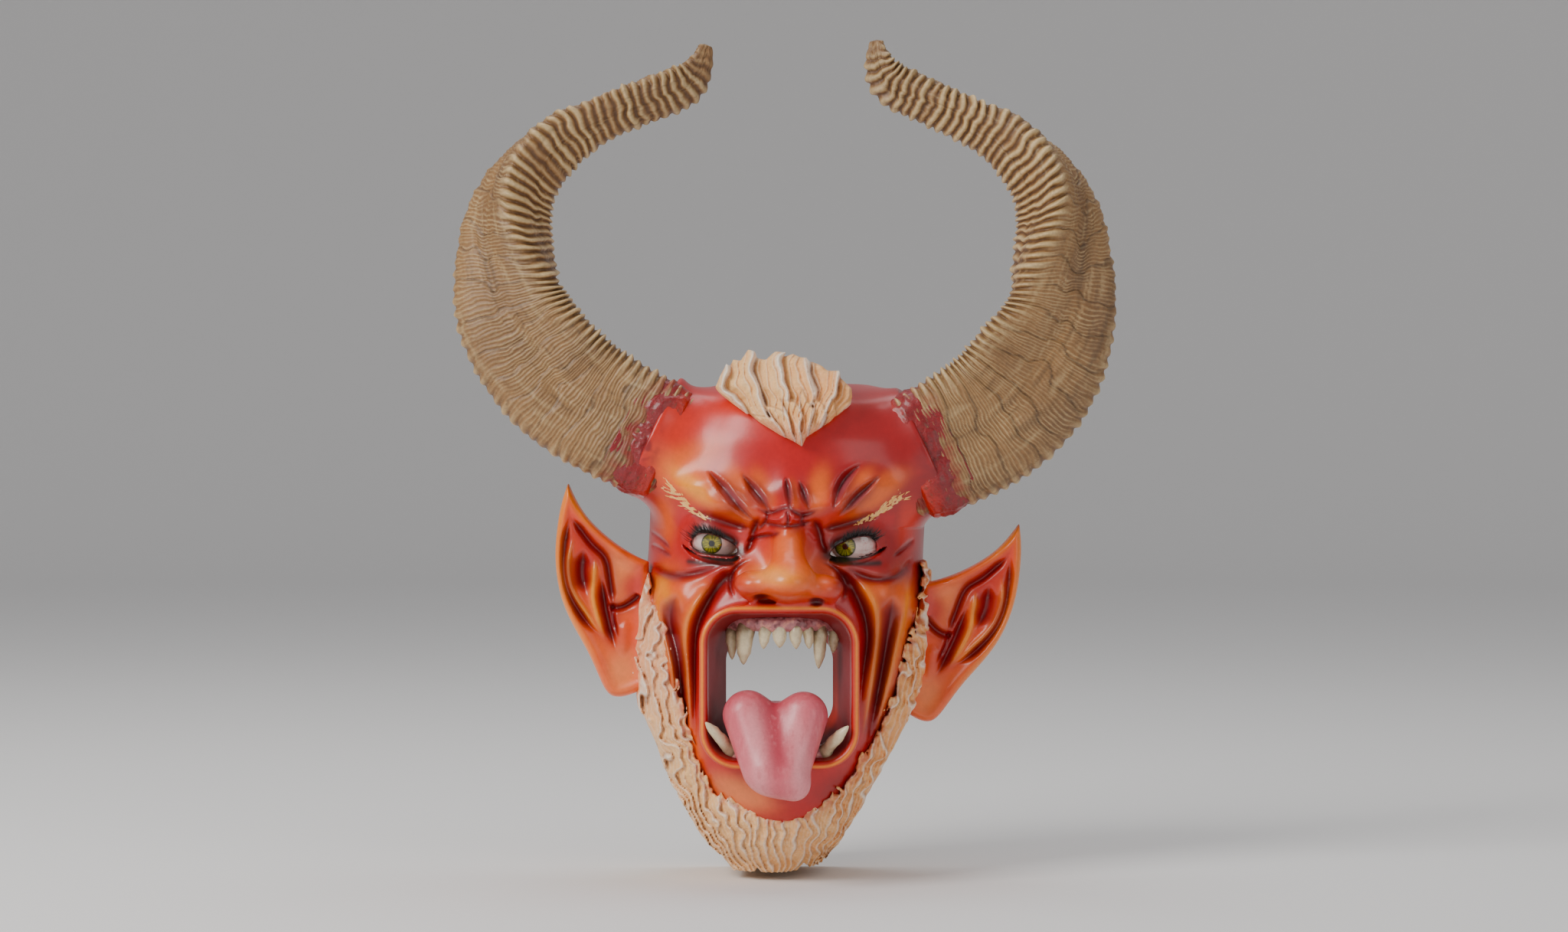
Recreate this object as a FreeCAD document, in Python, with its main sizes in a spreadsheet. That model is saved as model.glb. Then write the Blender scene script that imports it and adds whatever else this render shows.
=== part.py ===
"""Carved and painted devil mask with ram horns, for wearing or hanging on a wall.

The mask faces -Y. The flat back rim lies on the plane Y = 0, where the wearer's head or the wall is.
+X is the viewer's right and +Z is up, so "left" in a name means the viewer's left.
All sizes are millimetres. Driving dimensions live in the spreadsheet "Sizes".
"""

import FreeCAD, Part

import math
import os

import Sketcher
from FreeCAD import Placement, Rotation, Vector

SIZES = {
    # the hollow wooden face
    "face_half_width": 80.0,
    "face_top": 136.0,
    "face_bottom": -129.0,
    "face_depth": 88.0,
    "wall": 9.0,
    "horn_seat_wall": 19.0,
    "head_lean": 0.05,
    "head_shift": -1.0,
    # eyes, viewing slits and strap holes
    "eye_spacing": 76.0,
    "eye_height": 49.0,
    "eye_ball_radius": 15.0,
    "eye_front": 75.0,
    "eye_thickness": 11.0,
    "lid_half_width": 12.8,
    "lid_half_height": 5.2,
    "eye_ledge": 0.6,
    "slit_spacing": 80.0,
    "slit_height": 37.0,
    "slit_length": 31.0,
    "slit_gap": 2.6,
    "front_clearance": 110.0,
    "strap_hole_radius": 2.5,
    "strap_hole_depth": 42.0,
    "strap_hole_height": 15.5,
    "strap_hole_drop": 9.5,
    "beard_gap_radius": 6.5,
    # mouth
    "mouth_centre": -2.5,
    "mouth_height": -30.0,
    "mouth_half_width": 39.0,
    "mouth_half_height": 40.0,
    "mouth_front": 97.0,
    "mouth_back": 46.0,
    "throat_half_width": 29.0,
    "throat_half_height": 27.0,
    "mouth_wall": 5.0,
    # nose
    "nose_centre": 2.5,
    "nose_height": 26.0,
    "nose_tip_depth": 122.0,
    "nose_wing_reach": 19.0,
    "nostril_radius": 4.6,
    # ears
    "ear_root_out": 82.0,
    "ear_front": 36.0,
    "ear_thickness": 15.0,
    "ear_hollow": 5.0,
    "right_ear_turn": 12.7,
    "right_ear_inset": 5.7,
    "right_ear_drop": 12.2,
    "dowel_radius": 3.0,
    "dowel_length": 18.0,
    "dowel_spacing": 40.0,
    "dowel_chamfer": 0.8,
    # horns
    "horn_hollow": 0.72,
    "screw_radius": 2.2,
    "screw_head_radius": 4.4,
    "screw_length": 44.0,
    "screw_spacing": 20.0,
    "screw_sink": 10.0,
    # tongue
    "tongue_half_width": 27.5,
    "tongue_thickness": 17.0,
    "tongue_peg_radius": 3.5,
    "tongue_peg_length": 16.0,
    "tongue_peg_depth": 80.0,
    "tongue_peg_height": -66.0,
    # gums
    "gum_half_length": 31.5,
    "gum_half_depth": 4.2,
    "gum_half_height": 4.6,
    "gum_height": 4.0,
    "lower_gum_spread": 23.5,
    "lower_gum_depth": 83.0,
    "lower_gum_height": -66.5,
    # hair
    "tuft_across": 8.0,
    "tuft_front": 88.0,
    "tuft_root_height": 100.0,
    "tuft_thickness": 26.0,
    "tuft_dome_half_width": 44.0,
    "tuft_dome_half_height": 42.0,
    "tuft_tilt": 18.0,
    "beard_relief": 5.0,
    "beard_back": 8.0,
    "beard_front": 130.0,
    "lash_thickness": 1.4,
    "lash_width": 2.8,
    "lash_overhang": 3.0,
    "lash_standoff": 4.0,
}

# Face outline, bottom to top: height, half width and depth as shares of the face's own sizes.
FACE_STATIONS = [
    (0.000, 0.28, 0.60),
    (0.034, 0.40, 0.76),
    (0.102, 0.56, 0.89),
    (0.192, 0.75, 0.96),
    (0.290, 0.89, 1.00),
    (0.396, 0.97, 1.00),
    (0.517, 0.99, 0.97),
    (0.630, 0.975, 0.91),
    (0.721, 0.975, 0.90),
    (0.804, 1.00, 0.90),
    (0.879, 0.94, 0.87),
    (0.940, 0.85, 0.79),
    (0.981, 0.76, 0.66),
    (1.000, 0.62, 0.45),
]
BACK_OVERRUN = 6.0  # the lofts run past the rim plane, which is then cut flat
BEHIND = (400.0, 60.0, 500.0)  # the block that cuts them flat: across, back and up
EDGE_POWER = 2.4  # squareness of the face's horizontal sections
# Swellings and hollows of the face: across (mirrored if not on the middle), up, their two reaches, height.
FACE_RELIEF = [
    (13.0, 64.0, 11.0, 7.5, 9.0),  # inner brow
    (31.0, 68.5, 14.0, 7.0, 9.0),  # middle brow
    (51.0, 78.0, 15.0, 8.0, 7.0),  # outer brow
    (38.0, 49.0, 15.0, 9.0, -5.0),  # eye socket
    (33.0, 34.0, 15.0, 5.0, 3.0),  # bag under the eye
    (55.0, 20.0, 13.0, 15.0, 8.0),  # cheekbone
    (63.0, -20.0, 7.0, 30.0, 4.0),  # fold in front of the beard
    (51.0, -22.0, 4.5, 34.0, -3.0),  # furrow beside the mouth
    (2.0, 52.0, 9.0, 22.0, 17.0),  # bridge of the nose
    (2.0, 66.0, 7.0, 7.0, 4.0),  # knot between the brows
    (-2.0, -30.0, 48.0, 50.0, 9.0),  # muzzle
    (-1.0, -96.0, 24.0, 12.0, 6.0),  # chin
]

# The nose's masses: name, across, back from the tip, up, and the three half axes.
NOSE_MASSES = [
    ("nose_bridge", -1.0, 38.0, 16.0, (11.5, 20.0, 22.0)),
    ("nose_tip", 0.0, 22.0, 1.0, (16.0, 22.0, 10.5)),
]
NOSE_WING = (27.0, -2.0, (11.0, 14.5, 8.5))  # back from the tip, up, half axes

# Horn stations, head to tip: out from the middle, forward, up, half width, half depth, twist in degrees.
HORN_STATIONS = [
    (50.0, 35.0, 94.0, 25.0, 18.5, 0.0),
    (75.0, 35.0, 105.5, 32.0, 25.5, 0.0),
    (111.0, 35.5, 125.5, 34.5, 26.5, 2.0),
    (136.5, 36.5, 150.0, 34.0, 26.0, 10.0),
    (151.5, 37.5, 176.5, 31.0, 25.0, 30.0),
    (155.5, 38.0, 203.9, 27.5, 23.5, 60.0),
    (154.0, 38.0, 227.6, 24.5, 22.0, 88.0),
    (146.5, 37.0, 246.5, 21.0, 20.5, 116.0),
    (134.0, 35.5, 261.5, 18.0, 18.5, 138.0),
    (116.0, 33.0, 275.0, 14.5, 16.0, 153.0),
    (92.2, 30.5, 286.5, 12.3, 13.5, 160.0),
    (70.5, 28.0, 294.7, 11.8, 12.2, 162.0),
    (54.5, 26.0, 302.5, 10.8, 10.5, 163.0),
    (46.5, 24.5, 313.5, 7.0, 7.0, 164.0),
    (43.5, 23.5, 324.0, 3.4, 3.4, 165.0),
]
HORN_CORNER = 0.13  # how far the three corners of a horn's section stand out of a circle
HORN_KEEL_ANGLE = 30.0  # turns one flat side of the section toward the viewer
HORN_SECTION_POINTS = 18
PLUG_LAST_STATION = 4  # the wooden plug ends here
SCREW_WAY_LENGTH = 30.0  # the screwdriver's way in, behind each screw
COLLAR_REACH = 0.30  # how far the paste collar runs out, as a share of the first span
# The right horn hangs lower at the head, is thicker there, and its tip stands further out.
RIGHT_HORN_DROOP = (5.0, -9.0)
RIGHT_HORN_WIDER = 1.08
RIGHT_HORN_TIP = (8.0, 2.5)

# Left ear outline round its root (outward is -X), from the upper root over the tip to the lobe.
EAR_OUTLINE = [
    (7.0, 36.0),
    (-1.0, 39.5),
    (-13.6, 47.6),
    (-26.9, 60.0),
    (-34.5, 72.0),
    (-38.4, 80.9),
    (-42.5, 68.0),
    (-45.2, 52.0),
    (-45.7, 33.0),
    (-40.5, 9.5),
    (-28.5, -13.5),
    (-20.5, -31.0),
    (-14.0, -39.5),
    (-4.0, -39.0),
    (7.0, -34.0),
]
EAR_HOLLOW = [
    (-5.0, 22.0),
    (-20.0, 42.0),
    (-34.5, 62.0),
    (-39.5, 42.0),
    (-36.0, 18.0),
    (-24.0, -4.0),
    (-14.0, -14.0),
    (-8.0, 2.0),
]
EAR_TIP_INDEX = 5
DOWEL_OUT = 0.5  # how far the dowels' middles stand outside the ear's root
DOWEL_BACK_SHARE = 0.55  # how deep in the ear they run, as a share of its thickness

# Hair tuft outline in its own tilted plane, round the point where the locks meet.
TUFT_OUTLINE = [
    (2.0, -2.0),
    (-14.0, 7.0),
    (-31.0, 20.0),
    (-47.0, 31.0),
    (-41.0, 37.0),
    (-45.0, 45.0),
    (-36.0, 45.0),
    (-34.0, 53.0),
    (-26.0, 48.5),
    (-20.0, 55.0),
    (-14.0, 48.0),
    (-7.0, 54.0),
    (-2.0, 55.0),
    (3.0, 47.5),
    (10.0, 49.0),
    (13.0, 43.0),
    (21.0, 43.0),
    (21.0, 35.0),
    (30.0, 32.0),
    (26.0, 22.0),
    (9.0, 4.0),
]

MOUTH_NARROWING = 0.9  # the mouth's width half way in, as a share of its width at the lips
MOUTH_LOWERING = 0.88  # the same for its height

LOCKS_ROUND_JAW = 11  # locks in the beard's half turn
LOCK_SLANT = 14.0  # how fast the locks swing round with height
# Heights at which the face is drawn, as shares of its height, and the points across each section.
FACE_SHARES = [0.0, 0.03, *(0.08 + 0.06 * n for n in range(15)), 0.95, 0.975, 0.99, 1.0]
BEARD_SHARES = FACE_SHARES[:14]
FACE_POINTS = 26
BEARD_POINTS = 60
BEARD_RIPPLE = 1.5  # how far the beard's locks swell


# Beard outline seen from the front: outside edge from the left temple down and up to the right one,
# then the skin's edge back again.
BEARD_OUTSIDE = [
    (-96.0, 32.0),
    (-98.0, -20.0),
    (-90.0, -60.0),
    (-80.0, -90.0),
    (-62.0, -120.0),
    (-36.0, -134.0),
    (-28.0, -136.0),
    (-15.0, -136.0),
    (8.0, -136.0),
    (24.0, -134.0),
    (34.0, -128.0),
    (56.0, -112.0),
    (76.0, -86.0),
    (90.0, -56.0),
    (96.0, -20.0),
    (98.0, 34.0),
]
BEARD_SKIN_EDGE = [
    (76.0, 34.0),
    (75.0, 8.0),
    (70.0, -12.0),
    (62.0, -35.0),
    (52.0, -62.0),
    (41.0, -80.0),
    (28.0, -92.0),
    (14.0, -100.0),
    (0.0, -105.0),
    (-12.0, -101.0),
    (-24.0, -97.0),
    (-43.0, -88.0),
    (-53.0, -69.0),
    (-59.0, -52.0),
    (-63.0, -32.0),
    (-67.0, -8.0),
    (-74.0, 20.0),
    (-80.0, 32.0),
]

# Upper teeth, left to right: name, middle, root height, tip height, lean of the tip, root radius.
UPPER_TEETH = [
    ("upper_molar_left", -28.6, 0.0, -16.3, 0.4, 3.1),
    ("upper_fang_left", -20.6, 1.5, -18.6, -1.4, 5.0),
    ("upper_incisor_1", -10.2, 1.8, -9.9, -1.0, 3.3),
    ("upper_incisor_2", -2.4, 2.6, -9.3, 0.0, 4.0),
    ("upper_incisor_3", 6.0, 2.4, -10.0, 0.6, 3.4),
    ("upper_incisor_4", 13.0, 1.4, -10.0, 0.6, 3.0),
    ("upper_fang_right", 20.0, 0.8, -21.0, -1.2, 4.0),
    ("upper_molar_right", 27.6, 0.0, -12.9, -1.0, 3.1),
]
TOOTH_ARCH_FRONT = 84.0  # forward place of the front teeth
TOOTH_ARCH_SWEEP = 0.0165  # how the arch falls back with the square of the distance from the middle
TOOTH_PROFILE = [(0.0, 0.80), (0.22, 1.0), (0.5, 0.86), (0.78, 0.52), (1.0, 0.10)]  # along, fatness
TOOTH_BOW = 0.07  # how far a tooth bows forward, as a share of its length
# Lower tusks: name, root, tip, root radius.
TUSKS = [
    ("lower_tusk_left", (-24.5, 83.0, -69.0), (-42.0, 99.5, -48.5), 4.4),
    ("lower_tusk_right", (18.5, 83.0, -69.0), (34.5, 99.5, -50.5), 4.4),
]
# Tongue sections, root to tip: middle, forward, up, half width share, thickness share, pitch in degrees.
TONGUE_STATIONS = [
    (-4.5, 64.0, -48.0, 0.80, 0.80, 20.0),
    (-4.5, 73.0, -43.0, 0.98, 0.95, 35.0),
    (-4.2, 85.0, -44.0, 1.00, 1.00, 70.0),
    (-3.6, 96.5, -51.0, 0.97, 1.00, 105.0),
    (-2.4, 103.5, -62.0, 0.84, 0.95, 135.0),
    (-0.6, 107.0, -73.0, 0.66, 0.85, 150.0),
    (2.0, 109.5, -82.0, 0.46, 0.62, 160.0),
    (4.0, 110.0, -88.0, 0.18, 0.30, 165.0),
]

doc = FreeCAD.newDocument("DevilMask")


# ---------------------------------------------------------------- spreadsheet and small helpers


def make_sheet():
    """Writes every driving dimension to a cell with an alias."""
    made = doc.addObject("Spreadsheet::Sheet", "Sizes")
    for row, (alias, value) in enumerate(SIZES.items(), start=1):
        made.set(f"A{row}", alias)
        made.set(f"B{row}", str(value))
        made.setAlias(f"B{row}", alias)
    doc.recompute()
    return made


sheet = make_sheet()


def size(alias):
    return float(sheet.get(alias))


def lean(height):
    """How far the head's middle stands to the side at this height."""
    return size("head_shift") + size("head_lean") * height


def feature(name, shape):
    """A Part::Feature for a shape made with Part's own functions."""
    made = doc.addObject("Part::Feature", name)
    made.Shape = shape
    return made


def bind(made, **cells):
    """Binds properties of an object to expressions over the sheet."""
    for prop, expression in cells.items():
        made.setExpression(prop.replace("__", "."), expression)
    return made


def place(made, across, forward, up):
    """Binds an object's position to expressions; forward is toward the viewer, which is -Y."""
    made.setExpression("Placement.Base.x", str(across))
    made.setExpression("Placement.Base.y", f"-({forward})")
    made.setExpression("Placement.Base.z", str(up))
    return made


def cut(name, base, tool):
    made = doc.addObject("Part::Cut", name)
    made.Base, made.Tool = base, tool
    return made


def carve(name, base, tools):
    """Takes tools out of a base one after the other; the last cut carries the plain name."""
    for number, tool in enumerate(tools, start=1):
        last = number == len(tools)
        base = cut(name if last else f"{name}_step_{number}", base, tool)
    return base


def join(name, base, members):
    """Adds members to a base one after the other."""
    for number, member in enumerate(members, start=1):
        made = doc.addObject("Part::Fuse", f"{name}_step_{number}")
        made.Base, made.Tool = base, member
        base = made
    return base


def largest(name, made):
    """Keeps only the largest solid of a shape, dropping crumbs left between tools."""
    doc.recompute()
    return feature(name, max(made.Shape.Solids, key=lambda solid: solid.Volume))


def common(name, *members):
    made = doc.addObject("Part::MultiCommon", name)
    made.Shapes = list(members)
    return made


def loft(name, wires):
    """A Part::Loft through wires, each kept as its own section object."""
    sections = [feature(f"{name}_section", wire) for wire in wires]
    made = doc.addObject("Part::Loft", name)
    made.Sections, made.Solid, made.Ruled = sections, True, False
    return made


def smooth_loop(points):
    """A closed smooth wire through the points."""
    curve = Part.BSplineCurve()
    curve.interpolate(Points=points, PeriodicFlag=True)
    return Part.Wire([curve.toShape()])


def outline_prism(name, points, start, end):
    """A closed polygonal outline seen from the front, extruded between two depths."""
    corners = [Vector(x, -start, z) for x, z in points]
    face = Part.Face(Part.makePolygon(corners + corners[:1]))
    return feature(name, face.extrude(Vector(0, start - end, 0)))


def label(made, name):
    """Marks an object as a finished sub-part: its label names its file."""
    made.Label = name
    parts.append(made)
    return made


parts = []


# ---------------------------------------------------------------- face shell


def relief(across, height):
    """How far the face stands out of the plain head here."""
    total = 0.0
    for x, z, wide, tall, rise in FACE_RELIEF:
        for sign in (-1, 1) if abs(x) > 5 else (1,):
            reach = ((across - sign * x) / wide) ** 2 + ((height - z) / tall) ** 2
            total += rise * math.exp(-reach)
    return total


def d_section(height, half_width, depth, back, count=16, carved=False, ripple=0.0):
    """A horizontal section of the head: a squared arc in front and a straight back."""
    points = []
    for step in range(count + 1):
        turn = math.pi * step / count
        across, ahead = math.cos(turn), math.sin(turn)
        lock = math.cos(2 * LOCKS_ROUND_JAW * turn + height / LOCK_SLANT)
        grown = 1 + ripple / half_width * lock
        x = math.copysign(abs(across) ** (2 / EDGE_POWER), across) * half_width * grown
        y = max(ahead, 0.0) ** (2 / EDGE_POWER) * (depth * grown + back)
        if carved:
            y += relief(x, height) * ahead
        points.append(Vector(lean(height) + x, back - y, height))
    curve = Part.BSplineCurve()
    curve.interpolate(points)
    return Part.Wire([curve.toShape(), Part.makeLine(points[-1], points[0])])


def between(table, at):
    """Reads the rows of a table at a place between them, along a smooth curve."""
    rows = [table[0], *table, table[-1]]
    index = 1
    while index < len(rows) - 3 and at > rows[index + 1][0]:
        index += 1
    before, here, after, beyond = rows[index - 1 : index + 3]
    span = after[0] - here[0]
    t, values = (at - here[0]) / span, []
    for k in range(1, len(here)):
        start = (after[k] - before[k]) / (after[0] - before[0]) * span
        end = (beyond[k] - here[k]) / (beyond[0] - here[0]) * span
        values.append(
            here[k] * (2 * t**3 - 3 * t**2 + 1)
            + start * (t**3 - 2 * t**2 + t)
            + after[k] * (3 * t**2 - 2 * t**3)
            + end * (t**3 - t**2)
        )
    return values


def head_loft(name, grow, shares, count, ripple=0.0):
    """The head's outer form with its relief, grown by a layer."""
    bottom, top = size("face_bottom"), size("face_top")
    wires = []
    for share in shares:
        wide, deep = between(FACE_STATIONS, share)
        height = bottom + (top - bottom) * share + (2 * share - 1) * grow
        wires.append(
            d_section(
                height,
                size("face_half_width") * wide + grow,
                size("face_depth") * deep + grow,
                BACK_OVERRUN,
                count,
                True,
                ripple,
            )
        )
    return loft(name, wires)


def hollow_loft():
    """The space behind the face: thinner walls at the face, thick ones where the horns are screwed on."""
    bottom, top = size("face_bottom"), size("face_top")
    wall, seat = size("wall"), size("horn_seat_wall")
    wires = []
    for share, wide, deep in FACE_STATIONS[1:-1]:
        height = bottom + (top - bottom) * share
        height = min(max(height, bottom + wall + 2), top - wall)
        side = seat if share > 0.75 else wall
        wires.append(
            d_section(
                height,
                size("face_half_width") * wide - side,
                size("face_depth") * deep - wall,
                2 * BACK_OVERRUN,
            )
        )
    return loft("face_hollow", wires)


def squared_ring(depth, half_width, half_height):
    """A rounded rectangle round the mouth's middle, at one depth."""
    count, power, points = 20, 3.6, []
    for step in range(count):
        turn = 2 * math.pi * step / count
        c, s = math.cos(turn), math.sin(turn)
        x = math.copysign(abs(c) ** (2 / power), c) * half_width
        z = math.copysign(abs(s) ** (2 / power), s) * half_height
        points.append(
            Vector(size("mouth_centre") + x, -depth, size("mouth_height") + z)
        )
    return smooth_loop(points)


def mouth_lofts():
    """The mouth's wall, from the lips to the throat, and the space inside it."""
    front, back, wall = size("mouth_front"), size("mouth_back"), size("mouth_wall")
    wide, tall = size("mouth_half_width"), size("mouth_half_height")
    throat_w, throat_h = size("throat_half_width"), size("throat_half_height")
    outer = loft(
        "mouth_outer",
        [
            squared_ring(front + 2, wide + 1.5, tall + 1.5),
            squared_ring(front - 1, wide + wall, tall + wall),
            squared_ring(front - 10, wide + 1.5 * wall, tall + 1.5 * wall),
            squared_ring(back, throat_w + wall, throat_h + wall),
        ],
    )
    inner = loft(
        "mouth_inner",
        [
            squared_ring(front + 6, wide + 2, tall + 2),
            squared_ring(front, wide, tall),
            squared_ring((front + back) / 2, wide * MOUTH_NARROWING, tall * MOUTH_LOWERING),
            squared_ring(back - 4, throat_w, throat_h),
        ],
    )
    return outer, inner


def ellipsoid(name, across, forward, up, radii, roll=0.0):
    """An ellipsoid with half axes across, forward and up, rolled about the view direction."""
    made = doc.addObject("Part::Ellipsoid", name)
    made.Placement.Rotation = Rotation(Vector(0, 1, 0), roll)
    # Radius1 is the Z half axis, Radius2 the X one and Radius3 the Y one.
    bind(made, Radius1=str(radii[2]), Radius2=str(radii[0]), Radius3=str(radii[1]))
    return place(made, across, forward, up)


def full_turn(made):
    made.Angle1, made.Angle2, made.Angle3 = -90, 90, 360
    return made


def face_masses():
    """The tip and wings of the nose, which overhang the lip."""
    masses = []
    for name, across, back, up, radii in NOSE_MASSES:
        middle, depth = f"Sizes.nose_centre + {across}", f"Sizes.nose_tip_depth - {back}"
        masses.append(ellipsoid(name, middle, depth, f"Sizes.nose_height + {up}", radii))
    back, up, radii = NOSE_WING
    for side in (-1, 1):
        wing = ellipsoid(
            f"nose_wing_{side}",
            f"Sizes.nose_centre + {side} * Sizes.nose_wing_reach",
            f"Sizes.nose_tip_depth - {back}",
            f"Sizes.nose_height + {up}",
            radii,
        )
        masses.append(wing)
    return [full_turn(mass) for mass in masses]


def nostrils():
    holes = []
    for side in (-1, 1):
        hole = ellipsoid(
            f"nostril_{side}",
            f"Sizes.nose_centre + {side} * 0.75 * Sizes.nose_wing_reach",
            "Sizes.nose_tip_depth - 20",
            "Sizes.nose_height - 8",
            ("Sizes.nostril_radius + 1.2", "11", "Sizes.nostril_radius"),
        )
        holes.append(full_turn(hole))
    return holes


def eye_window(side):
    """The almond opening between the lids, cut from the front as far as the eye."""
    half, tall = size("lid_half_width"), size("lid_half_height")
    middle, height = side * size("eye_spacing") / 2, size("eye_height")
    start = size("front_clearance")
    left, right = Vector(middle - half, -start, height), Vector(middle + half, -start, height)
    upper = Part.Arc(left, Vector(middle, -start, height + tall), right).toShape()
    lower = Part.Arc(right, Vector(middle, -start, height - tall), left).toShape()
    almond = Part.Face(Part.Wire([upper, lower]))
    reach = start - size("eye_front") + size("eye_thickness")
    return feature(f"eye_window_{side}", almond.extrude(Vector(0, reach, 0)))


def eye_bore(side):
    """The round hole behind each eye, open to the hollow, that the eye is put in through."""
    bore = doc.addObject("Part::Cylinder", f"eye_bore_{side}")
    bore.Placement.Rotation = Rotation(Vector(1, 0, 0), -90)
    bind(bore, Radius="Sizes.eye_ball_radius - Sizes.eye_ledge", Height="2 * Sizes.eye_ball_radius")
    return place(
        bore,
        f"{side} * Sizes.eye_spacing / 2",
        "Sizes.eye_front - Sizes.eye_thickness",
        "Sizes.eye_height",
    )


def slit(side):
    """The viewing slit under each painted eye, right through the wall."""
    made = doc.addObject("Part::Box", f"slit_{side}")
    bind(made, Length="Sizes.slit_length", Width="Sizes.front_clearance", Height="Sizes.slit_gap")
    return place(
        made,
        f"{side} * Sizes.slit_spacing / 2 - Sizes.slit_length / 2",
        "Sizes.front_clearance - 2",
        "Sizes.slit_height - Sizes.slit_gap / 2",
    )


def strap_hole(name, side, radius):
    """A round way out through the side in front of each ear; the right one is lower than the left."""
    made = doc.addObject("Part::Cylinder", f"{name}_{side}")
    made.Placement.Rotation = Rotation(Vector(0, 1, 0), 90 * side)
    bind(made, Radius=f"Sizes.{radius}", Height="Sizes.face_half_width - 20")
    drop = " - Sizes.strap_hole_drop" if side > 0 else ""
    return place(
        made,
        f"{side} * (Sizes.face_half_width - 35)",
        "Sizes.strap_hole_depth",
        f"Sizes.strap_hole_height{drop}",
    )


def behind_rim():
    """Everything behind the rim plane."""
    made = doc.addObject("Part::Box", "behind_rim")
    made.Length, made.Width, made.Height = BEHIND
    return place(made, -BEHIND[0] / 2, 0, -0.4 * BEHIND[2])


# ---------------------------------------------------------------- small turned pieces


def plane_of(body, role):
    return next(f for f in body.Origin.OriginFeatures if f.Role == role)


def turned_body(name, profile, drive):
    """A PartDesign body revolved about its own Z axis. profile lists (radius, height) corners."""
    body = doc.addObject("PartDesign::Body", name)
    sketch = body.newObject("Sketcher::SketchObject", f"{name}_profile")
    sketch.AttachmentSupport = [(plane_of(body, "XZ_Plane"), "")]
    sketch.MapMode = "FlatFace"
    count = len(profile)
    for index, (radius, height) in enumerate(profile):
        after = profile[(index + 1) % count]
        sketch.addGeometry(Part.LineSegment(Vector(radius, height, 0), Vector(*after, 0)))
    for index in range(count):
        sketch.addConstraint(
            Sketcher.Constraint("Coincident", index, 2, (index + 1) % count, 1)
        )
    for index, (radius, height) in enumerate(profile):
        for kind, value in (("DistanceX", radius), ("DistanceY", height)):
            number = sketch.addConstraint(
                Sketcher.Constraint(kind, -1, 1, index, 1, value)
            )
            expression = drive.get((index, kind))
            if expression:
                sketch.setExpression(f"Constraints[{number}]", expression)
    turn = body.newObject("PartDesign::Revolution", f"{name}_turn")
    turn.Profile = sketch
    turn.ReferenceAxis = (sketch, ["V_Axis"])
    turn.Angle = 360
    body.Tip = turn
    return body


def make_screw():
    """A countersunk wood screw with its head at the origin, pointing along +Z."""
    radius, head = size("screw_radius"), size("screw_head_radius")
    length = size("screw_length")
    profile = [
        (0.0, 0.0),
        (head, 0.0),
        (radius, head - radius),
        (radius, length - 2 * radius),
        (0.0, length),
    ]
    drive = {
        (1, "DistanceX"): "Sizes.screw_head_radius",
        (2, "DistanceX"): "Sizes.screw_radius",
        (2, "DistanceY"): "Sizes.screw_head_radius - Sizes.screw_radius",
        (3, "DistanceX"): "Sizes.screw_radius",
        (3, "DistanceY"): "Sizes.screw_length - 2 * Sizes.screw_radius",
        (4, "DistanceY"): "Sizes.screw_length",
    }
    body = turned_body("screw", profile, drive)
    doc.recompute()
    return body


def make_dowel():
    """A round peg with chamfered ends, centred on the origin along Z."""
    body = doc.addObject("PartDesign::Body", "dowel")
    sketch = body.newObject("Sketcher::SketchObject", "dowel_circle")
    sketch.AttachmentSupport = [(plane_of(body, "XY_Plane"), "")]
    sketch.MapMode = "FlatFace"
    sketch.addGeometry(Part.Circle(Vector(0, 0, 0), Vector(0, 0, 1), size("dowel_radius")))
    sketch.addConstraint(Sketcher.Constraint("Coincident", 0, 3, -1, 1))
    number = sketch.addConstraint(
        Sketcher.Constraint("Radius", 0, size("dowel_radius"))
    )
    sketch.setExpression(f"Constraints[{number}]", "Sizes.dowel_radius")
    pad = body.newObject("PartDesign::Pad", "dowel_pad")
    pad.Profile = sketch
    pad.Midplane = True
    pad.setExpression("Length", "Sizes.dowel_length")
    doc.recompute()
    ends = [
        f"Edge{number}"
        for number, edge in enumerate(pad.Shape.Edges, start=1)
        if isinstance(edge.Curve, Part.Circle)
    ]
    chamfer = body.newObject("PartDesign::Chamfer", "dowel_chamfer")
    chamfer.Base = (pad, ends)
    chamfer.setExpression("Size", "Sizes.dowel_chamfer")
    body.Tip = chamfer
    doc.recompute()
    return body


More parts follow.
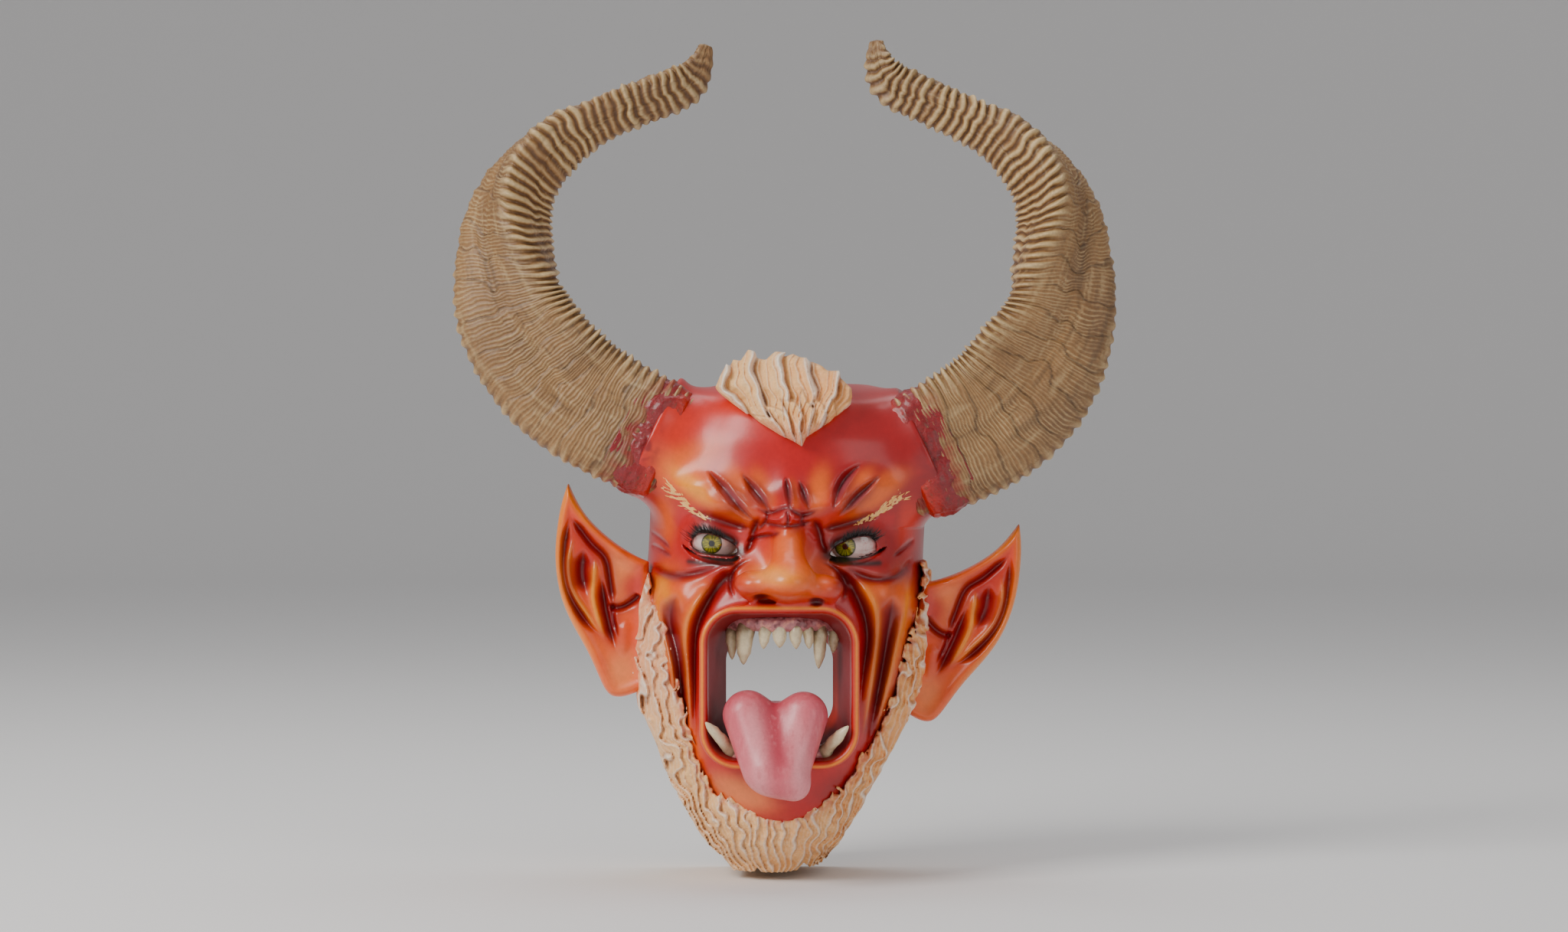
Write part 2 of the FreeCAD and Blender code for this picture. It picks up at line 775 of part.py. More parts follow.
def make_eye():
    """A glass dome with a flat back, its pole along +Z and its back at the origin."""
    ball, thick = size("eye_ball_radius"), size("eye_thickness")
    body = doc.addObject("PartDesign::Body", "eye")
    sketch = body.newObject("Sketcher::SketchObject", "eye_profile")
    sketch.AttachmentSupport = [(plane_of(body, "XZ_Plane"), "")]
    sketch.MapMode = "FlatFace"
    centre = thick - ball
    rim = math.sqrt(ball**2 - centre**2)
    start = math.atan2(-centre, rim)
    sketch.addGeometry(
        Part.ArcOfCircle(
            Part.Circle(Vector(0, centre, 0), Vector(0, 0, 1), ball),
            start,
            math.pi / 2,
        )
    )
    sketch.addGeometry(Part.LineSegment(Vector(0, thick, 0), Vector(0, 0, 0)))
    sketch.addGeometry(Part.LineSegment(Vector(0, 0, 0), Vector(rim, 0, 0)))
    sketch.addConstraint(
        [
            Sketcher.Constraint("Coincident", 0, 2, 1, 1),
            Sketcher.Constraint("Coincident", 1, 2, 2, 1),
            Sketcher.Constraint("Coincident", 2, 2, 0, 1),
            Sketcher.Constraint("Coincident", 1, 2, -1, 1),
            Sketcher.Constraint("PointOnObject", 0, 3, -2),
            Sketcher.Constraint("Vertical", 1),
            Sketcher.Constraint("Horizontal", 2),
        ]
    )
    radius = sketch.addConstraint(Sketcher.Constraint("Radius", 0, ball))
    sketch.setExpression(f"Constraints[{radius}]", "Sizes.eye_ball_radius")
    height = sketch.addConstraint(Sketcher.Constraint("DistanceY", -1, 1, 0, 2, thick))
    sketch.setExpression(f"Constraints[{height}]", "Sizes.eye_thickness")
    turn = body.newObject("PartDesign::Revolution", "eye_turn")
    turn.Profile = sketch
    turn.ReferenceAxis = (sketch, ["V_Axis"])
    turn.Angle = 360
    body.Tip = turn
    doc.recompute()
    return body


def copy_at(name, source, placement):
    """A placed copy of a body's finished shape."""
    shape = source.Shape.copy()
    shape.Placement = placement
    return feature(name, shape)


def compound(name, members):
    made = doc.addObject("Part::Compound", name)
    made.Links = list(members)
    return made


def aim(start, direction):
    """A placement whose own +Z points along direction from start."""
    return Placement(start, Rotation(Vector(0, 0, 1), direction))


# ---------------------------------------------------------------- horns


def horn_places(side):
    """Centre points of a horn's stations. The right horn's differences fade out along it."""
    sign = -1 if side == "left" else 1
    places = []
    for index, (x, forward, z, *_rest) in enumerate(HORN_STATIONS):
        if side == "right":
            droop = min(1.0, max(0.0, (5 - index) / 3))
            end = max(0.0, (index - 10) / 4)
            x += RIGHT_HORN_DROOP[0] * droop + RIGHT_HORN_TIP[0] * end
            z += RIGHT_HORN_DROOP[1] * droop + RIGHT_HORN_TIP[1] * end
        places.append(Vector(sign * x, -forward, z))
    return places


def horn_frame(places, index, sign):
    """Outward and viewer-ward directions across a horn at one of its stations."""
    before = places[max(index - 1, 0)]
    after = places[min(index + 1, len(places) - 1)]
    along = (after - before).normalize()
    ahead = Vector(0, -1, 0)
    ahead = (ahead - along * ahead.dot(along)).normalize()
    outward = along.cross(ahead) * -sign
    return outward.normalize(), ahead


def spread(values):
    """Scales values to run from -1 to 1."""
    low, high = min(values), max(values)
    return [2 * (value - low) / (high - low) - 1 for value in values]


def horn_section(places, index, sign, grow):
    """A three-cornered section with its corners turned by the twist, fitted to the horn's size there."""
    half_width, half_depth, twist = HORN_STATIONS[index][3:]
    if sign > 0 and index < PLUG_LAST_STATION:
        half_width *= RIGHT_HORN_WIDER
    outward, ahead = horn_frame(places, index, sign)
    across, deep = [], []
    for step in range(HORN_SECTION_POINTS):
        turn = 2 * math.pi * step / HORN_SECTION_POINTS
        corner = 3 * (turn - math.radians(HORN_KEEL_ANGLE + twist))
        reach = 1 + HORN_CORNER * math.cos(corner)
        across.append(reach * math.cos(turn))
        deep.append(reach * math.sin(turn))
    points = [
        places[index] + outward * (n * half_width * grow) + ahead * (b * half_depth * grow)
        for n, b in zip(spread(across), spread(deep))
    ]
    return smooth_loop(points)


def horn_loft(name, side, first, last, grow):
    sign = -1 if side == "left" else 1
    places = horn_places(side)
    return loft(
        name,
        [horn_section(places, i, sign, grow) for i in range(first, last + 1)],
    )


def horn_collar_loft(side):
    """The paste collar round a horn's root."""
    sign = -1 if side == "left" else 1
    places = horn_places(side)
    wires = [horn_section(places, 0, sign, 1.02), horn_section(places, 1, sign, 1.12)]
    edge = horn_section(places, 1, sign, 1.07)
    edge.translate((places[2] - places[1]) * COLLAR_REACH)
    return loft(f"horn_collar_{side}_form", [*wires, edge])


def make_horn(side, head, screws):
    """A hollow horn, its wooden plug and the collar round its root, all seated on the head."""
    body = horn_loft(f"horn_{side}_form", side, 0, len(HORN_STATIONS) - 1, 1.0)
    plug = horn_loft(f"horn_{side}_plug_form", side, 0, PLUG_LAST_STATION, size("horn_hollow"))
    collar = horn_collar_loft(side)
    label(carve(f"horn_{side}", body, [head, plug]), f"horn_{side}")
    label(carve(f"horn_plug_{side}", plug, [head, screws]), f"horn_plug_{side}")
    label(carve(f"horn_collar_{side}", collar, [head, body]), f"horn_collar_{side}")


def make_screws(source):
    """Two screws through each horn seat, from the hollow into the horn's plug."""
    members, ways = [], []
    for side in ("left", "right"):
        places = horn_places(side)
        along = (places[2] - places[0]).normalize()
        for step in (-1, 1):
            offset = Vector(0, step * size("screw_spacing") / 2, 0)
            start = places[0] + offset + along * size("screw_sink")
            members.append(copy_at(f"screw_{side}_{step}", source, aim(start, along)))
            way = doc.addObject("Part::Cylinder", f"screw_way_{side}_{step}")
            way.Placement = aim(start, along * -1)
            bind(way, Radius="Sizes.screw_head_radius", Height=str(SCREW_WAY_LENGTH))
            ways.append(way)
    return compound("horn_screws_form", members), ways


# ---------------------------------------------------------------- ears


def ear_turn(side):
    turn = size("right_ear_turn") if side == "right" else 0.0
    return Rotation(Vector(0, 1, 0), turn)


def ear_root(side):
    if side == "left":
        return Vector(-size("ear_root_out"), -size("ear_front"), 0)
    across = size("ear_root_out") - size("right_ear_inset")
    return Vector(across, -size("ear_front"), -size("right_ear_drop"))


def ear_spline(points, sign):
    curve = Part.BSplineCurve()
    curve.interpolate([Vector(-sign * x, z, 0) for x, z in points])
    return curve


def make_ear_body(side):
    """A leaf-shaped ear with a pointed tip and a carved hollow, as a PartDesign body."""
    sign = -1 if side == "left" else 1
    body = doc.addObject("PartDesign::Body", f"ear_{side}_body")
    sketch = body.newObject("Sketcher::SketchObject", f"ear_{side}_outline")
    sketch.AttachmentSupport = [(plane_of(body, "XZ_Plane"), "")]
    sketch.MapMode = "FlatFace"
    up_to_tip = EAR_OUTLINE[: EAR_TIP_INDEX + 1]
    down_from_tip = EAR_OUTLINE[EAR_TIP_INDEX:]
    sketch.addGeometry(ear_spline(up_to_tip, sign))
    sketch.addGeometry(ear_spline(down_from_tip, sign))
    last, first = down_from_tip[-1], up_to_tip[0]
    sketch.addGeometry(
        Part.LineSegment(
            Vector(-sign * last[0], last[1], 0), Vector(-sign * first[0], first[1], 0)
        )
    )
    pad = body.newObject("PartDesign::Pad", f"ear_{side}_pad")
    pad.Profile = sketch
    pad.setExpression("Length", "Sizes.ear_thickness")
    pad.Reversed = True
    doc.recompute()
    hollow = body.newObject("Sketcher::SketchObject", f"ear_{side}_hollow")
    hollow.AttachmentSupport = [(plane_of(body, "XZ_Plane"), "")]
    hollow.MapMode = "FlatFace"
    rim = Part.BSplineCurve()
    rim.interpolate(
        Points=[Vector(-sign * x, z, 0) for x, z in EAR_HOLLOW], PeriodicFlag=True
    )
    hollow.addGeometry(rim)
    pocket = body.newObject("PartDesign::Pocket", f"ear_{side}_pocket")
    pocket.Profile = hollow
    pocket.setExpression("Length", "Sizes.ear_hollow")
    doc.recompute()
    body.Tip = pocket
    return body


def make_dowels(source):
    members = []
    for side, sign in (("left", -1), ("right", 1)):
        root = ear_root(side)
        for step in (-1, 1):
            offset = Vector(
                sign * DOWEL_OUT,
                DOWEL_BACK_SHARE * size("ear_thickness"),
                step * size("dowel_spacing") / 2,
            )
            where = root + ear_turn(side).multVec(offset)
            members.append(copy_at(f"dowel_{side}_{step}", source, aim(where, Vector(1, 0, 0))))
    return compound("ear_dowels_form", members)


# ---------------------------------------------------------------- mouth pieces


def tooth_wires(root, tip, radius, bow):
    """Round sections from a tooth's root to its tip, bowed forward in the middle."""
    axis = tip - root
    wires = []
    for share, fat in TOOTH_PROFILE:
        centre = root + axis * share + Vector(0, -bow * math.sin(math.pi * share), 0)
        wires.append(
            Part.Wire([Part.makeCircle(radius * fat, centre, Vector(axis).normalize())])
        )
    return wires


def arch_depth(across):
    offset = across - size("mouth_centre")
    return TOOTH_ARCH_FRONT - TOOTH_ARCH_SWEEP * offset**2


def upper_teeth():
    forms = []
    for name, across, root_up, tip_up, tip_lean, radius in UPPER_TEETH:
        depth = arch_depth(across)
        root = Vector(across, -depth + 1.0, root_up + 1.5)
        tip = Vector(across + tip_lean, -depth - 1.5, tip_up)
        bow = TOOTH_BOW * abs(root_up - tip_up)
        forms.append((name, loft(f"{name}_form", tooth_wires(root, tip, radius, bow))))
    return forms


def lower_tusks():
    forms = []
    for name, root, tip, radius in TUSKS:
        start = Vector(root[0], -root[1], root[2])
        end = Vector(tip[0], -tip[1], tip[2])
        wires = tooth_wires(start, end, radius, 1.5)
        forms.append((name, loft(f"{name}_form", wires)))
    return forms


def upper_gum_form():
    """A ridge of paste along the upper arch, bent to the teeth."""
    sections, corners, wires = 8, 10, []
    deep, tall = size("gum_half_depth"), size("gum_half_height")
    for step in range(sections + 1):
        across = size("mouth_centre") + size("gum_half_length") * (2 * step / sections - 1)
        depth = arch_depth(across)
        points = []
        for corner in range(corners):
            turn = 2 * math.pi * corner / corners
            y = deep * math.cos(turn) - depth
            points.append(Vector(across, y, size("gum_height") + tall * math.sin(turn)))
        wires.append(smooth_loop(points))
    return loft("upper_gum_form", wires)


def lower_gum_form(side):
    sign = -1 if side == "left" else 1
    return full_turn(
        ellipsoid(
            f"lower_gum_{side}_form",
            f"Sizes.mouth_centre + {sign} * Sizes.lower_gum_spread",
            "Sizes.lower_gum_depth",
            "Sizes.lower_gum_height",
            (9.5, 8.0, 5.5),
            roll=sign * 25.0,
        )
    )


def tongue_section(station):
    across, forward, up, wide, thick, pitch = station
    half = size("tongue_half_width") * wide
    deep = size("tongue_thickness") * thick / 2
    angle = math.radians(pitch)
    # "ahead" runs along the tongue; "lift" is its upper side's normal.
    lift = Vector(0, -math.sin(angle - math.pi / 2), 0) + Vector(
        0, 0, math.cos(angle - math.pi / 2)
    )
    points = []
    for step in range(14):
        turn = 2 * math.pi * step / 14
        c, s = math.cos(turn), math.sin(turn)
        groove = 0.34 * math.exp(-((c / 0.38) ** 2)) if s > 0 else 0.0
        points.append(
            Vector(across, -forward, up)
            + Vector(math.copysign(abs(c) ** 0.85, c) * half, 0, 0)
            + lift * (deep * (math.copysign(abs(s) ** 0.85, s) - groove))
        )
    return smooth_loop(points)


def tongue_form():
    return loft("tongue_form", [tongue_section(s) for s in TONGUE_STATIONS])


def tongue_peg_form():
    """The peg that holds the tongue to the mouth's floor."""
    made = doc.addObject("Part::Cylinder", "tongue_peg_form")
    bind(made, Radius="Sizes.tongue_peg_radius", Height="Sizes.tongue_peg_length")
    middle = TONGUE_STATIONS[2][0]
    return place(made, middle, "Sizes.tongue_peg_depth", "Sizes.tongue_peg_height")


# ---------------------------------------------------------------- hair


def tuft_form():
    """The hair tuft: a fan of locks with a rounded front, tilted back along the forehead."""
    corners = [Vector(x, 0, z) for x, z in TUFT_OUTLINE]
    face = Part.Face(Part.makePolygon(corners + corners[:1]))
    fan = feature("tuft_fan", face.extrude(Vector(0, size("tuft_thickness"), 0)))
    fan.Placement = Placement(
        Vector(size("tuft_across"), -size("tuft_front"), size("tuft_root_height")),
        Rotation(Vector(1, 0, 0), -size("tuft_tilt")),
    )
    dome = doc.addObject("Part::Ellipsoid", "tuft_dome")
    bind(full_turn(dome), Radius1="Sizes.tuft_dome_half_height")
    bind(dome, Radius2="Sizes.tuft_dome_half_width", Radius3="Sizes.tuft_thickness")
    dome.Placement = fan.Placement.multiply(
        Placement(Vector(-9, size("tuft_thickness"), 25), Rotation())
    )
    return common("tuft_form", fan, dome)


def lash_form(side):
    """A thin crescent of lashes along the upper lid."""
    sign = -1 if side == "left" else 1
    middle, height = sign * size("eye_spacing") / 2, size("eye_height")
    half, tall = size("lid_half_width"), size("lid_half_height")
    front, past = size("eye_front") + size("lash_standoff"), size("lash_overhang")
    start = Vector(middle - half - past * (sign < 0), -front, height)
    end = Vector(middle + half + past * (sign > 0), -front, height)
    crown = Vector(middle + sign * 2.0, -front, height + tall + size("lash_width"))
    low = Part.Arc(end, Vector(middle, -front, height + tall), start).toShape()
    high = Part.Arc(start, crown, end).toShape()
    face = Part.Face(Part.Wire([high, low]))
    return feature(
        f"upper_lash_{side}_form", face.extrude(Vector(0, -size("lash_thickness"), 0))
    )


# ---------------------------------------------------------------- assembly


def build():
    head = head_loft("head_form", 0.0, FACE_SHARES, FACE_POINTS)
    mouth_outer, mouth_inner = mouth_lofts()
    head_block = cut("head_block", head, behind_rim())
    face_mass = join("face_mass", head_block, [mouth_outer, *face_masses()])

    screw, dowel, eye = make_screw(), make_dowel(), make_eye()
    (screws, screw_ways), dowels = make_screws(screw), make_dowels(dowel)
    eyes = []
    for side, sign in (("left", -1), ("right", 1)):
        where = Vector(
            sign * size("eye_spacing") / 2,
            -(size("eye_front") - size("eye_thickness")),
            size("eye_height"),
        )
        made = copy_at(f"eye_{side}", eye, aim(where, Vector(0, -1, 0)))
        eyes.append(label(made, f"eye_{side}"))

    tongue_peg = tongue_peg_form()
    strap_holes = [strap_hole("strap_hole", side, "strap_hole_radius") for side in (-1, 1)]
    beard_gaps = [strap_hole("beard_gap", side, "beard_gap_radius") for side in (-1, 1)]
    openings = [
        cut("face_hollow_clear", hollow_loft(), mouth_outer),
        mouth_inner,
        *nostrils(),
        *(eye_window(side) for side in (-1, 1)),
        *(eye_bore(side) for side in (-1, 1)),
        *(slit(side) for side in (-1, 1)),
        *strap_holes,
        *eyes,
        screws,
        *screw_ways,
        dowels,
        tongue_peg,
    ]
    shell = label(carve("face_shell", face_mass, openings), "face_shell")

    for side in ("left", "right"):
        make_horn(side, head_block, screws)
    label(screws, "horn_screws")

    ears = []
    for side in ("left", "right"):
        body = make_ear_body(side)
        body.Placement = Placement(ear_root(side), ear_turn(side))
        ears.append(body)
        label(carve(f"ear_{side}", body, [head_block, dowels]), f"ear_{side}")
    label(dowels, "ear_dowels")

    beard_block = common(
        "beard_block",
        head_loft(
            "beard_outer_form", size("beard_relief"), BEARD_SHARES, BEARD_POINTS, BEARD_RIPPLE
        ),
        outline_prism(
            "beard_outline", BEARD_OUTSIDE + BEARD_SKIN_EDGE, size("beard_front"), size("beard_back")
        ),
    )
    label(carve("beard", beard_block, [head_block, mouth_outer, *ears, *beard_gaps]), "beard")
    label(carve("hair_tuft", tuft_form(), [head_block]), "hair_tuft")

    for side in ("left", "right"):
        label(cut(f"upper_lash_{side}", lash_form(side), shell), f"upper_lash_{side}")

    teeth, tusks = upper_teeth(), lower_tusks()
    for name, form in teeth + tusks:
        label(cut(name, form, shell), name)
    tooth_forms = [form for _, form in teeth]
    gum = carve("upper_gum_cut", upper_gum_form(), [shell, *tooth_forms])
    label(largest("upper_gum", gum), "upper_gum")
    tongue = tongue_form()
    for side, (_, tusk) in zip(("left", "right"), tusks):
        gum = carve(f"lower_gum_{side}", lower_gum_form(side), [shell, tusk, tongue])
        label(gum, f"lower_gum_{side}")
    tusk_forms = [form for _, form in tusks]
    label(carve("tongue", tongue, [shell, tongue_peg, *tusk_forms]), "tongue")
    label(tongue_peg, "tongue_peg")


def check():
    """Stops with a message if any object failed or any sub-part isn't a valid solid."""
    doc.recompute()
    for made in doc.Objects:
        if "Invalid" in made.State or "Error" in made.State:
            raise SystemExit(f"{made.Name} failed: {made.State}")
    for made in parts:
        if made.Shape.isNull() or not made.Shape.isValid() or not made.Shape.Solids:
            raise SystemExit(f"{made.Label} is not a valid solid")


def export():
    os.makedirs("parts", exist_ok=True)
    for made in parts:
        made.Shape.exportStep(f"parts/{made.Label}.step")
        box = made.Shape.BoundBox
        print(
            f"{made.Label:20s} solids {len(made.Shape.Solids)} volume {made.Shape.Volume:10.1f}"
            f"  x {box.XMin:.1f}..{box.XMax:.1f} y {box.YMin:.1f}..{box.YMax:.1f}"
            f" z {box.ZMin:.1f}..{box.ZMax:.1f}"
        )


build()
check()
export()
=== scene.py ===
"""Looks of a carved and airbrushed devil mask with ram's horns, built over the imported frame.

Shapes are worked out in millimetres in the frame's axes (X to the viewer's right, Z up, the face toward -Y)
and turned into metres when a mesh is made. The carved pieces are distance fields, sculpted by strokes laid
on the front and then meshed; the horns, teeth and hairs are swept surfaces.
"""

import math

import bpy
import numpy as np
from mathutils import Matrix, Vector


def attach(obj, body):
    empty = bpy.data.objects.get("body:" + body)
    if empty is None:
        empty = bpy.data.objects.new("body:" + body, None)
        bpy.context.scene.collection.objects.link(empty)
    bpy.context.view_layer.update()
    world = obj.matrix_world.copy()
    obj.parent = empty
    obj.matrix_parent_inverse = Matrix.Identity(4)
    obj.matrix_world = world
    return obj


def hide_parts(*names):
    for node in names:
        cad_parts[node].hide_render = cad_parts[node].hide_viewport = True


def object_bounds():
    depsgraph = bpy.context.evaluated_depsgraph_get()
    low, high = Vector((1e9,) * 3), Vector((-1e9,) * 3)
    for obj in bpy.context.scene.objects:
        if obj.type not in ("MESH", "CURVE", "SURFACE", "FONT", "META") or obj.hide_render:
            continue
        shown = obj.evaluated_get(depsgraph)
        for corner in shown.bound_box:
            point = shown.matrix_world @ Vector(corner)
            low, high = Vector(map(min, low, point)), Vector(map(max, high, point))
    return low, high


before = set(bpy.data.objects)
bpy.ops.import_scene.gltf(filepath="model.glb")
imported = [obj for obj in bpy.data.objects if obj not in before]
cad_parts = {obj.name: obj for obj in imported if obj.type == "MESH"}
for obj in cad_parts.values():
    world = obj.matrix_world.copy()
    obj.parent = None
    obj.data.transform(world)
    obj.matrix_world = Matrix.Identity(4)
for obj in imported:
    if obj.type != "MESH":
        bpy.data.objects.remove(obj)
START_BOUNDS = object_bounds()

import openvdb
from mathutils import Vector

MM = 0.001
FACE_VOXEL = 0.8
SMALL_VOXEL = 0.6
SHEET_STEP = 0.5

# ---------------------------------------------------------------- sizes from the frame


FACE_BOTTOM = -129.0
FACE_TOP = 136.0
HALF_WIDTH = 80.0
DEPTH = 88.0
BACK = 6.0  # the middle of the face's oval sections lies this far behind the rim
SQUARENESS = 2.4
WALL = 9.0
SEAT_WALL = 19.0
MOUTH = (-2.5, -30.0)
EYES = {"left": (-38.0, 49.8), "right": (38.0, 48.1)}
NOSE_MIDDLE = 2.5
EYE_RADIUS = 15.0
EYE_CENTRE_DEPTH = -59.0
LID_HALF_WIDTH = 12.8
SLIT_MIDDLE = 40.0
SLIT_HEIGHT = 36.2
SLIT_SLOPE = 0.5  # the slits rise toward the inside, so that nothing bright shows through them
DULL_ROUGHNESS = 0.8  # of bare wood, and of the paint inside the mouth
LID_THICKNESS = 1.6
STRAP_HOLE_RADIUS = 2.5
STRAP_HOLE_DEPTH = -42.0
STRAP_HOLE_HEIGHTS = {"left": 15.5, "right": 6.0}

# Share of the face's height, then its width and depth there as shares of the largest.
FACE_STATIONS = [
    (0.000, 0.28, 0.60),
    (0.034, 0.40, 0.76),
    (0.102, 0.56, 0.89),
    (0.192, 0.75, 0.96),
    (0.290, 0.89, 1.00),
    (0.396, 0.97, 1.00),
    (0.517, 0.99, 0.97),
    (0.630, 0.975, 0.91),
    (0.721, 0.975, 0.90),
    (0.804, 1.00, 0.90),
    (0.879, 0.94, 0.87),
    (0.940, 0.85, 0.79),
    (0.981, 0.76, 0.66),
    (1.000, 0.62, 0.45),
]
# Swellings and hollows of the face: across (on both sides if off the middle), up, two reaches, height.
FACE_RELIEF = [
    (13, 64, 11, 7.5, 8),
    (31, 68.5, 14, 7, 8),
    (51, 78, 15, 8, 7),
    (38, 49, 17, 9, -6),
    (34, 33, 17, 6, 4),
    (57, 20, 13, 15, 8),
    (63, -20, 7, 30, 3),
    (2, 52, 9, 22, 17),
    (2, 66, 7, 7, 3),
    (-2, -30, 48, 50, 9),
    (-1, -96, 24, 12, 6),
]

# ---------------------------------------------------------------- colours


def paint(red, green, blue):
    """A linear colour from its display values, 0 to 1."""
    values = np.array((red, green, blue))
    return np.where(values <= 0.04045, values / 12.92, ((values + 0.055) / 1.055) ** 2.4)


RED = paint(0.76, 0.00, 0.02)
DEEP_RED = paint(0.56, 0.00, 0.03)
CRIMSON = paint(0.52, 0.00, 0.05)
MAROON = paint(0.32, 0.00, 0.05)
ORANGE = paint(0.96, 0.40, 0.00)
RED_ORANGE = paint(0.90, 0.17, 0.00)
YELLOW = paint(1.00, 0.64, 0.02)
PEACH = paint(1.00, 0.62, 0.32)
# pink-mauve used for painted reflections
REFLECTION_MAUVE = paint(0.62, 0.34, 0.38)
BLACK = paint(0.03, 0.02, 0.03)
BARE_WOOD = paint(0.66, 0.49, 0.32)
DARK_WOOD = paint(0.40, 0.26, 0.15)
HORN_TAN = paint(0.60, 0.44, 0.26)
HORN_PALE = paint(0.86, 0.75, 0.55)
HORN_BROWN = paint(0.36, 0.23, 0.12)
HORN_DARK = paint(0.18, 0.11, 0.06)
CREAM = paint(1.00, 0.80, 0.54)
WHITE_PASTE = paint(1.00, 0.95, 0.88)
OCHRE = paint(0.93, 0.56, 0.22)
PASTE_BROWN = paint(0.46, 0.18, 0.06)
PASTE_PINK = paint(1.00, 0.68, 0.58)
TONGUE_PINK = paint(0.86, 0.38, 0.43)
TONGUE_DEEP = paint(0.72, 0.20, 0.27)
TONGUE_PALE = paint(0.95, 0.60, 0.62)
TOOTH = paint(0.90, 0.84, 0.68)
TOOTH_BROWN = paint(0.42, 0.32, 0.20)
GUM = paint(0.74, 0.46, 0.47)
GUM_DARK = paint(0.38, 0.16, 0.16)

# ---------------------------------------------------------------- small tools


def spline(rows, count):
    """A natural cubic curve through rows of numbers, at count places spread evenly over the row index."""
    rows = np.asarray(rows, float)
    if rows.ndim == 1:
        rows = rows[:, None]
    last = len(rows) - 1
    matrix = np.eye(last + 1)
    bend = np.zeros_like(rows)
    for i in range(1, last):
        matrix[i, i - 1 : i + 2] = (1, 4, 1)
        bend[i] = 6 * (rows[i - 1] - 2 * rows[i] + rows[i + 1])
    bend = np.linalg.solve(matrix, bend)
    at = np.linspace(0, last, count)
    i = np.minimum(at.astype(int), last - 1)
    f = (at - i)[:, None]
    straight = (1 - f) * rows[i] + f * rows[i + 1]
    return straight + ((f**3 - f) * bend[i + 1] + ((1 - f) ** 3 - (1 - f)) * bend[i]) / 6


def lattice(cells, seed):
    """Random numbers from -1 to 1 for whole-numbered cells, one column per axis."""
    value = np.full(len(cells), seed * 374761393, np.int64)
    for axis, factor in zip(range(cells.shape[1]), (73856093, 19349663, 83492791)):
        value ^= cells[:, axis] * factor
    value &= 0xFFFFFFFF
    value = ((value ^ (value >> 13)) * 1274126177) & 0xFFFFFFFF
    return ((value ^ (value >> 16)) & 0xFFFF) / 32767.5 - 1


def noise(points, size, seed, octaves=1):
    """Smooth noise from -1 to 1 at rows of points, with lumps about as wide as size."""
    points = np.asarray(points, float) / size
    total = np.zeros(len(points))
    weight, weights = 1.0, 0.0
    for octave in range(octaves):
        cell = np.floor(points).astype(np.int64)
        f = points - cell
        f = f * f * (3 - 2 * f)
        for corner in range(2 ** points.shape[1]):
            offset = np.array([(corner >> axis) & 1 for axis in range(points.shape[1])])
            share = np.prod(np.where(offset, f, 1 - f), axis=1)
            total += weight * share * lattice(cell + offset, seed + octave)
        weights += weight
        weight *= 0.5
        points = points * 2.03 + 7.1
    return total / weights


def ease(value, low, high):
    """0 below low, 1 above high, smooth between."""
    f = np.clip((value - low) / (high - low), 0, 1)
    return f * f * (3 - 2 * f)


def flood(points, colour):
    """One colour for every point."""
    return np.zeros((len(points), 3)) + colour


def blend(base, colour, share):
    """Mixes a colour into rows (or sheets) of colours."""
    share = np.clip(share, 0, 1)[..., None]
    return base * (1 - share) + np.asarray(colour) * share


def smooth_min(a, b, reach):
    h = np.clip(0.5 + 0.5 * (b - a) / reach, 0, 1)
    return b * (1 - h) + a * h - reach * h * (1 - h)


def smooth_max(a, b, reach):
    return -smooth_min(-a, -b, reach)


# ---------------------------------------------------------------- sheets: values laid on the front


class Sheet:
    """A flat grid over X and Z that strokes are drawn on."""

    def __init__(self, low, high):
        self.low = np.array(low, float)
        self.x = np.arange(low[0], high[0], SHEET_STEP)
        self.z = np.arange(low[1], high[1], SHEET_STEP)

    def blank(self, value=0.0):
        return np.full((len(self.x), len(self.z)), value)

    def points(self):
        x, z = np.meshgrid(self.x, self.z, indexing="ij")
        return np.stack((x.ravel(), z.ravel()), axis=1)

    def noise(self, size, seed, octaves=1):
        return noise(self.points(), size, seed, octaves).reshape(len(self.x), len(self.z))

    def window(self, points, margin):
        slices = []
        for axis, values in ((0, self.x), (1, self.z)):
            low = np.searchsorted(values, points[:, axis].min() - margin)
            high = np.searchsorted(values, points[:, axis].max() + margin)
            slices.append(slice(low, max(high, low + 1)))
        return tuple(slices)

    def sample(self, values, x, z):
        """Values at places on the sheet, between its grid points."""
        i = np.clip((x - self.low[0]) / SHEET_STEP, 0, len(self.x) - 1.001)
        k = np.clip((z - self.low[1]) / SHEET_STEP, 0, len(self.z) - 1.001)
        i0, k0 = i.astype(int), k.astype(int)
        share_i, share_k = i - i0, k - k0
        if values.ndim == 3:
            share_i, share_k = share_i[..., None], share_k[..., None]
        low = values[i0, k0] * (1 - share_i) + values[i0 + 1, k0] * share_i
        high = values[i0, k0 + 1] * (1 - share_i) + values[i0 + 1, k0 + 1] * share_i
        return low * (1 - share_k) + high * share_k


